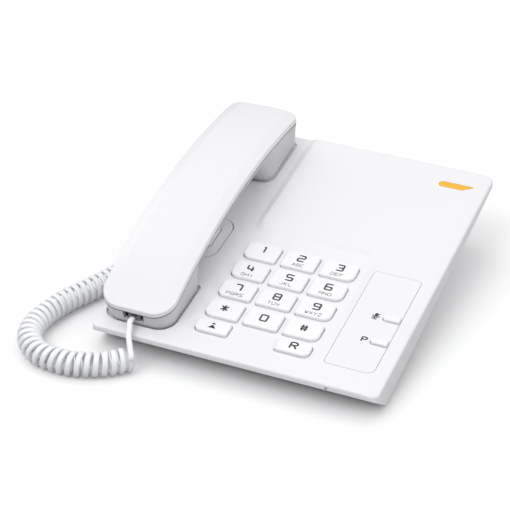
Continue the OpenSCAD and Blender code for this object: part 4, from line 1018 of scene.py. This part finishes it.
def drawn_in(p, inset, share=0.0):
    """A point of the outline moved inwards, then towards the handset's spine by a share."""
    x = held(p[0] - inset * p[2], inset - HANDSET_HALF, HANDSET_HALF - inset)
    s = held(p[1] - inset * p[3], HANDSET_S + inset, HANDSET_END - inset)
    bow = HANDSET_HALF + SPINE_BOW * (x / HANDSET_HALF) ** 2
    spine = held(s, HANDSET_S + bow, HANDSET_END - bow)
    return x * (1 - share), s + (spine - s) * share


def cover_height(x, s):
    """Sloped bands beside a low crown, with x from the handset's middle."""
    fade = smooth(HANDSET_S + FRONT_FADE[0], HANDSET_S + FRONT_FADE[1], s)
    rise = (COVER_SIDE - FRONT_DROP * (1 - fade)
            + fade * BAND_RISE * min(1.0, (HANDSET_HALF - abs(x)) / BAND_W)
            + fade * CROWN_RISE * max(0.0, 1 - (x / (HANDSET_HALF - BAND_W)) ** 2))
    return seam(s) + rise


def crease_lines(count=120):
    """Lines along the creases between the sloped bands and the crown."""
    made = []
    for x in (BAND_W - HANDSET_HALF, HANDSET_HALF - BAND_W):
        for at in (x - CREASE_HALF, x, x + CREASE_HALF):
            made.append([(at, mix(HANDSET_S + 3, HANDSET_END - 3, i / count))
                         for i in range(count + 1)])
    return made


def outline_ring(skin, inset, height, drop=0.0):
    """Ring of the outline drawn in, on a surface: the ring and its flat loop."""
    flat = [drawn_in(p, inset) for p in OUTLINE]
    return skin.over(flat, height, drop, HANDSET_X), flat


def over_seam(n):
    return lambda x, s: seam(s) + n


def make_cover():
    skin = Skin()
    made = [outline_ring(skin, inward, cover_height, down)
            for inward, down in fillet_steps(COVER_EDGE, 5)]
    made += [outline_ring(skin, inset, over_seam(n))
             for inset, n in ((0, GROOVE_H), (GROOVE_D, GROOVE_H), (GROOVE_D, SHELL_GAP))]
    skin.wall(*[ring for ring, _ in made])
    skin.sheet(made[:1], cover_height, 1.8, crease_lines(), HANDSET_X)
    skin.sheet(made[-1:], over_seam(SHELL_GAP), 8, (), HANDSET_X)
    piece = skin.build("handset_top", COVER, "handset_white")
    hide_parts("handset_cover")
    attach(piece, "handset")


make_cover()


def make_seam_shade():
    """Dark strip of painted shade that closes the gap between the cover and the lower shell."""
    skin = Skin()
    low, high, back = SEAM_PLAY, GROOVE_H - SEAM_PLAY, GROOVE_D - SHELL_GAP
    rings = [outline_ring(skin, inset, over_seam(n))[0]
             for inset, n in ((SEAM_IN, low), (SEAM_IN, high), (back, high), (back, low))]
    skin.wall(*rings, rings[0])
    # the strip is painted shade, not a dark part of the handset
    piece = skin.build("handset_seam_shade", PAINTED_SEAM_SHADE, "black_plastic")
    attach(piece, "handset")


make_seam_shade()


def shell_ring(inset, grip_inset, share, lift, inner=False):
    made = []
    for p in OUTLINE:
        c = cup_share(drawn_in(p, CUP_WALL if inner else inset, share)[0], p[1])
        x, s = drawn_in(p, inset + (1 - c) * grip_inset, share)
        made.append(deck(HANDSET_X + x, s, under_side(c, p[1]) + lift))
    return made


def shell_rim(inset, narrow, below, cup_below):
    made = []
    for p in OUTLINE:
        x, s = drawn_in(p, inset)
        c = cup_share(x, p[1])
        made.append(deck(HANDSET_X + x * (1 - narrow * (1 - c)), s, seam(s) - below - cup_below * c))
    return made


def strip_caps(skin, ring):
    """Closes a ring of the handset with strips across it."""
    n = len(ring)
    for j in range(len(HALF) - 1):
        skin.faces.append((ring[j], ring[j + 1], ring[n - 2 - j], ring[n - 1 - j]))


def prism(skin, loop, low, high):
    for ring in skin.sleeve(loop, low, high):
        skin.cap(ring)


# Rims of the lower shell, from the outside in: how far in, share that the grip is narrower,
# how far below the parting line, and how much further in the cups
RIMS = ((0.9, 0.03, 3, 2), (0.3, 0.0, 0.9, 0), (0.1, 0.0, 0.2, 0), (0.25, 0.0, 0.0, 0),
        (2.6, 0.0, 0.0, 0), (3.1, 0.03, 3, 1))
FLAT_IN, FOOT_IN, SIDE_IN = (9, 5), (5.5, 5.0), (CUP_WALL, 2.4)  # and how much more in the grip
FOOT_R, FLOOR_T, INNER_FOOT = 3.0, 2.2, 3.4


def make_shell():
    skin = Skin()
    made = [shell_ring(*FLAT_IN, share, 0) for share in (0.9, 0.6, 0.3, 0.0)]
    for a in quarter(6):
        inset, narrow = (mix(foot, side, sin(a)) for foot, side in zip(FOOT_IN, SIDE_IN))
        made.append(shell_ring(inset, narrow, 0, FOOT_R * (1 - cos(a))))
    made += [shell_rim(*rim) for rim in RIMS]
    made += [shell_ring(CUP_WALL + 2.2, 3.0, 0, INNER_FOOT, True),
             shell_ring(CUP_WALL + 4.3, 3.6, 0, FLOOR_T, True),
             shell_ring(*FLAT_IN, 0.85, FLOOR_T)]
    rings = [skin.ring(places) for places in made]
    skin.wall(*rings)
    strip_caps(skin, rings[0])
    strip_caps(skin, rings[-1])
    # the lower shell takes the darkened white plastic, which is painted shade
    piece = skin.build("handset_bottom", SHADED_SHELL, "handset_white")
    cut(piece, shell_openings())
    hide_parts("handset_shell")
    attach(piece, "handset")


def shell_openings():
    """Sound holes of the two cups, screw holes and the recess of the plug."""
    holes = Skin()
    ear = (HANDSET_X, EAR_S)
    for middle in circle(ear, EAR_HOLES_R, 6) + [ear]:
        prism(holes, circle(middle, EAR_HOLE_R, 24), HOLES_FROM, 2)
    prism(holes, circle((HANDSET_X, MIC_S), MIC_HOLE_R, 24), HOLES_FROM, 2)
    for s in SCREW_S:
        prism(holes, circle((HANDSET_X, s), SCREW_HOLE_R, 32), HOLES_FROM, 2.6)
    recess = rounded((HANDSET_X, HANDSET_S + 1.1), (13.4, 6.2), (0.8, 0.8, 1.2, 1.2))
    prism(holes, recess, PLUG_N - 2.9, 12.0)
    return holes


make_shell()

# ---- print on the keys and panel

# Strokes on a grid of 4 by 6: pairs of digits are points, a bar starts a new stroke
STROKES = {
    "A": "00 26 40|12 32", "B": "03 33 42 41 30 00 06 36 45 44 33", "C": "46 16 05 01 10 40",
    "D": "00 06 36 45 41 30 00", "E": "46 06 00 40|03 33", "F": "46 06 00|03 33",
    "G": "46 16 05 01 10 40 43 23", "H": "06 00|46 40|03 43", "I": "26 20",
    "J": "36 31 20 10 01", "K": "06 00|46 03 40", "L": "06 00 40", "M": "00 06 23 46 40",
    "N": "00 06 40 46", "O": "20 10 01 05 16 36 45 41 30 20", "P": "00 06 36 45 44 33 03",
    "Q": "20 10 01 05 16 36 45 41 30 20|22 40", "R": "00 06 36 45 44 33 03|23 40",
    "S": "46 16 05 04 13 33 42 41 30 00", "T": "06 46|26 20", "U": "06 01 10 30 41 46",
    "V": "06 20 46", "W": "06 10 24 30 46", "X": "06 40|00 46", "Y": "06 23 46|23 20",
    "Z": "06 46 00 40",
    "0": "20 00 06 46 40 20", "1": "26 36 30", "2": "06 46 43 03 00 40", "3": "06 46 40 00|13 43",
    "4": "06 02 42|35 30", "5": "46 06 03 43 40 00", "6": "46 06 00 40 43 03",
    "7": "06 46 40", "8": "23 03 06 46 43 23|23 03 00 40 43 23", "9": "00 40 46 06 03 43",
    "*": "26 20|05 41|01 45", "#": "10 16|30 36|02 42|04 44",
}
GRID_W, GRID_H = 4, 6
LETTER_GAP = 0.42  # between letters, in shares of their width
INK_T, INK_UNDER, LAYER_T = 0.02, 0.04, 0.004
MEET = 1e-4  # points nearer than this are one


def soften(line, radius):
    """Replaces each corner of a line by a short curve."""
    made = [line[0]]
    for a, b, c in zip(line, line[1:], line[2:]):
        corner = Vector(b)
        before, after = Vector(a) - corner, Vector(c) - corner
        reach = min(radius, before.length / 2, after.length / 2)
        start, end = corner + before.normalized() * reach, corner + after.normalized() * reach
        for t in (0, 0.25, 0.5, 0.75, 1):
            p = start.lerp(corner, t).lerp(corner.lerp(end, t), t)
            made.append((p.x, p.y))
    return made + [line[-1]]


def ribbon(skin, line, half, n, layer=0):
    """Flat printed stroke over height n; each layer lies over the one before."""
    top, bottom = n + INK_T + layer * LAYER_T, n - INK_UNDER
    points = [Vector(p) for p in line]
    points = [p for i, p in enumerate(points) if i == 0 or (p - points[i - 1]).length > MEET]
    closed = (points[0] - points[-1]).length < MEET
    if closed:
        points.pop()
    count = len(points)
    rings = [[], [], [], []]
    for i, p in enumerate(points):
        a = points[i - 1] if i or closed else p
        b = points[(i + 1) % count] if i < count - 1 or closed else p
        first = (p - a).normalized() if (p - a).length else (b - p).normalized()
        second = (b - p).normalized() if (b - p).length else first
        along = (first + second).normalized()
        side = Vector((-along.y, along.x))
        reach = half / max(0.5, side.dot(Vector((-first.y, first.x))))
        for ring, sign, at in zip(rings, (1, -1, -1, 1), (top, top, bottom, bottom)):
            q = p + side * reach * sign
            ring.append(deck(q.x, q.y, at))
    made = [skin.ring(ring) for ring in rings]
    for a, b in zip(made, made[1:] + made[:1]):
        skin.faces += [(a[i], a[(i + 1) % count], b[(i + 1) % count], b[i])
                       for i in range(count if closed else count - 1)]
    if not closed:
        skin.cap([ring[0] for ring in made])
        skin.cap([ring[-1] for ring in made])


def write(skin, word, middle, size, half, n, corner):
    """Prints a word, each letter of a size, on the deck round its middle."""
    gap = size[0] * LETTER_GAP
    total = len(word) * size[0] + (len(word) - 1) * gap
    for k, letter in enumerate(word):
        x0 = middle[0] - total / 2 + k * (size[0] + gap)
        for order, stroke in enumerate(STROKES[letter].split("|")):
            line = [(float(x), float(y)) for x, y in stroke.split()]
            scaled = [(x0 + x * size[0] / GRID_W, middle[1] + (y / GRID_H - 0.5) * size[1])
                      for x, y in soften(line, corner)]
            ribbon(skin, scaled, half, n, order)


def plaque(skin, loop, n):
    prism(skin, loop, n + INK_T, n - INK_UNDER)


def printed(name, body, draw):
    skin = Skin()
    draw(skin)
    piece = skin.build(name, INK, "black_plastic", False)
    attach(piece, body)


DIGIT_SIZE, DIGIT_HALF, LETTER_SIZE, LETTER_HALF = (4.1, 5.0), 0.55, (1.95, 2.35), 0.17
DIGIT_UP, MARK_UP, LETTER_DOWN = 1.8, 0.6, 4.4
DIGIT_SOFT, LETTER_SOFT = 0.9, 0.5  # how far the strokes' corners are rounded, on the grid
PAUSE_MARK, MUTE_MARK = (66.2, 42.6), (65.6, 63.2)
MARK_SIZE, MARK_HALF, LINE_HALF = (3.0, 3.8), 0.46, 0.3


def key_print(skin, kind, place, digit, letters):
    x, s = place
    n = key_top(kind, place)
    lift = DIGIT_UP if digit in "123456789" else MARK_UP
    write(skin, digit, (x, s + lift), DIGIT_SIZE, DIGIT_HALF, n, DIGIT_SOFT)
    if letters:
        write(skin, letters, (x, s - LETTER_DOWN), LETTER_SIZE, LETTER_HALF, n, LETTER_SOFT)


def redial_icon(skin):
    x, s = REDIAL_AT
    n = key_top("wide_left", REDIAL_AT)
    for half, foot, tip in ((2.6, -2.0, 0.9), (1.4, 1.3, 2.9)):
        plaque(skin, [(x - half, s + foot), (x + half, s + foot), (x, s + tip)], n)


def panel_print(skin):
    """The P mark, and a microphone on its stand that is struck through."""
    write(skin, "P", PAUSE_MARK, MARK_SIZE, MARK_HALF, 0.0, DIGIT_SOFT)
    x, s = MUTE_MARK
    plaque(skin, rounded((x, s + 1.2), (2.1, 3.4), (1.0,) * 4, 0, 0.8, 4), 0.0)
    angles = [pi * (1 + i / 10) for i in range(11)]
    cradle = [(x + 1.9 * cos(a), s + 0.9 + 2.2 * sin(a)) for a in angles]
    ribbon(skin, cradle, LINE_HALF, 0.0, 1)
    ribbon(skin, [(x, s - 1.3), (x, s - 2.4)], LINE_HALF, 0.0, 2)
    ribbon(skin, [(x - 1.3, s - 2.4), (x + 1.3, s - 2.4)], LINE_HALF, 0.0)
    ribbon(skin, [(x - 2.1, s - 2.0), (x + 2.1, s + 2.8)], 0.24, 0.0, 3)


def make_print():
    for name, kind, place, digit, letters in KEYS:
        if digit:
            draw = lambda skin: key_print(skin, kind, place, digit, letters)
            printed("print_" + name, name + "_button", draw)
    printed("print_key_redial", "key_redial_button", redial_icon)
    printed("print_panel", "base", panel_print)


make_print()

# ---- floor and light

FLOOR_SEEN, FLOOR_BOUNCE = (0.965, 0.965, 0.965), (0.5, 0.5, 0.5)
SKY_LOW, SKY_HIGH = 0.06, 1.22
FLOOR_HALF = 6.0
LIGHT_TARGET = Vector((0, 0, 0.02))


def make_floor():
    mesh = bpy.data.meshes.new("floor")
    mesh.from_pydata([(x * FLOOR_HALF, y * FLOOR_HALF, 0) for x, y in CORNERS], [], [(0, 1, 2, 3)])
    made = Finish("floor_card")
    rays = made.add("LightPath")
    made.colours(rays.outputs["Is Camera Ray"], FLOOR_BOUNCE, FLOOR_SEEN)
    made.fill(made.shader, Roughness=0.85)
    mesh.materials.append(made.material)
    floor = add_object("floor", mesh)


def area_light(name, place, size, power):
    data = bpy.data.lights.new(name, "AREA")
    data.shape = "DISK"
    data.size = size
    data.energy = power
    add_object(name, data, place, LIGHT_TARGET - Vector(place))


def make_world():
    """Soft light that grows from the horizon to straight above, before a white backdrop."""
    bpy.context.scene.world = bpy.data.worlds.new("studio")
    made = Nodes(bpy.context.scene.world)
    soft = made.tree.nodes["Background"]
    made.fill(soft, Color=(0.985, 0.99, 1.0, 1))
    split = made.add("SeparateXYZ")
    height = made.add("MapRange", To_Min=SKY_LOW, To_Max=SKY_HIGH)
    made.join(made.add("TexCoord").outputs["Generated"], split, 0)
    made.join(split.outputs["Z"], height, "Value")
    made.join(height.outputs["Result"], soft, "Strength")
    white = made.add("Background", Color=(1, 1, 1, 1), Strength=1.0)
    pick = made.add("MixShader")
    made.join(made.add("LightPath").outputs["Is Camera Ray"], pick, "Fac")
    made.join(soft.outputs["Background"], pick, 1)
    made.join(white.outputs["Background"], pick, 2)
    made.join(pick.outputs["Shader"], made.tree.nodes["World Output"], "Surface")


make_floor()
make_world()
area_light("key_light", (-0.5, -1.1, 1.5), 1.3, 9.5)
area_light("right_light", (1.6, -0.1, 0.8), 1.0, 5.5)
area_light("left_light", (-1.4, 0.5, 0.8), 1.1, 4)
bpy.context.scene.view_settings.view_transform = "Standard"
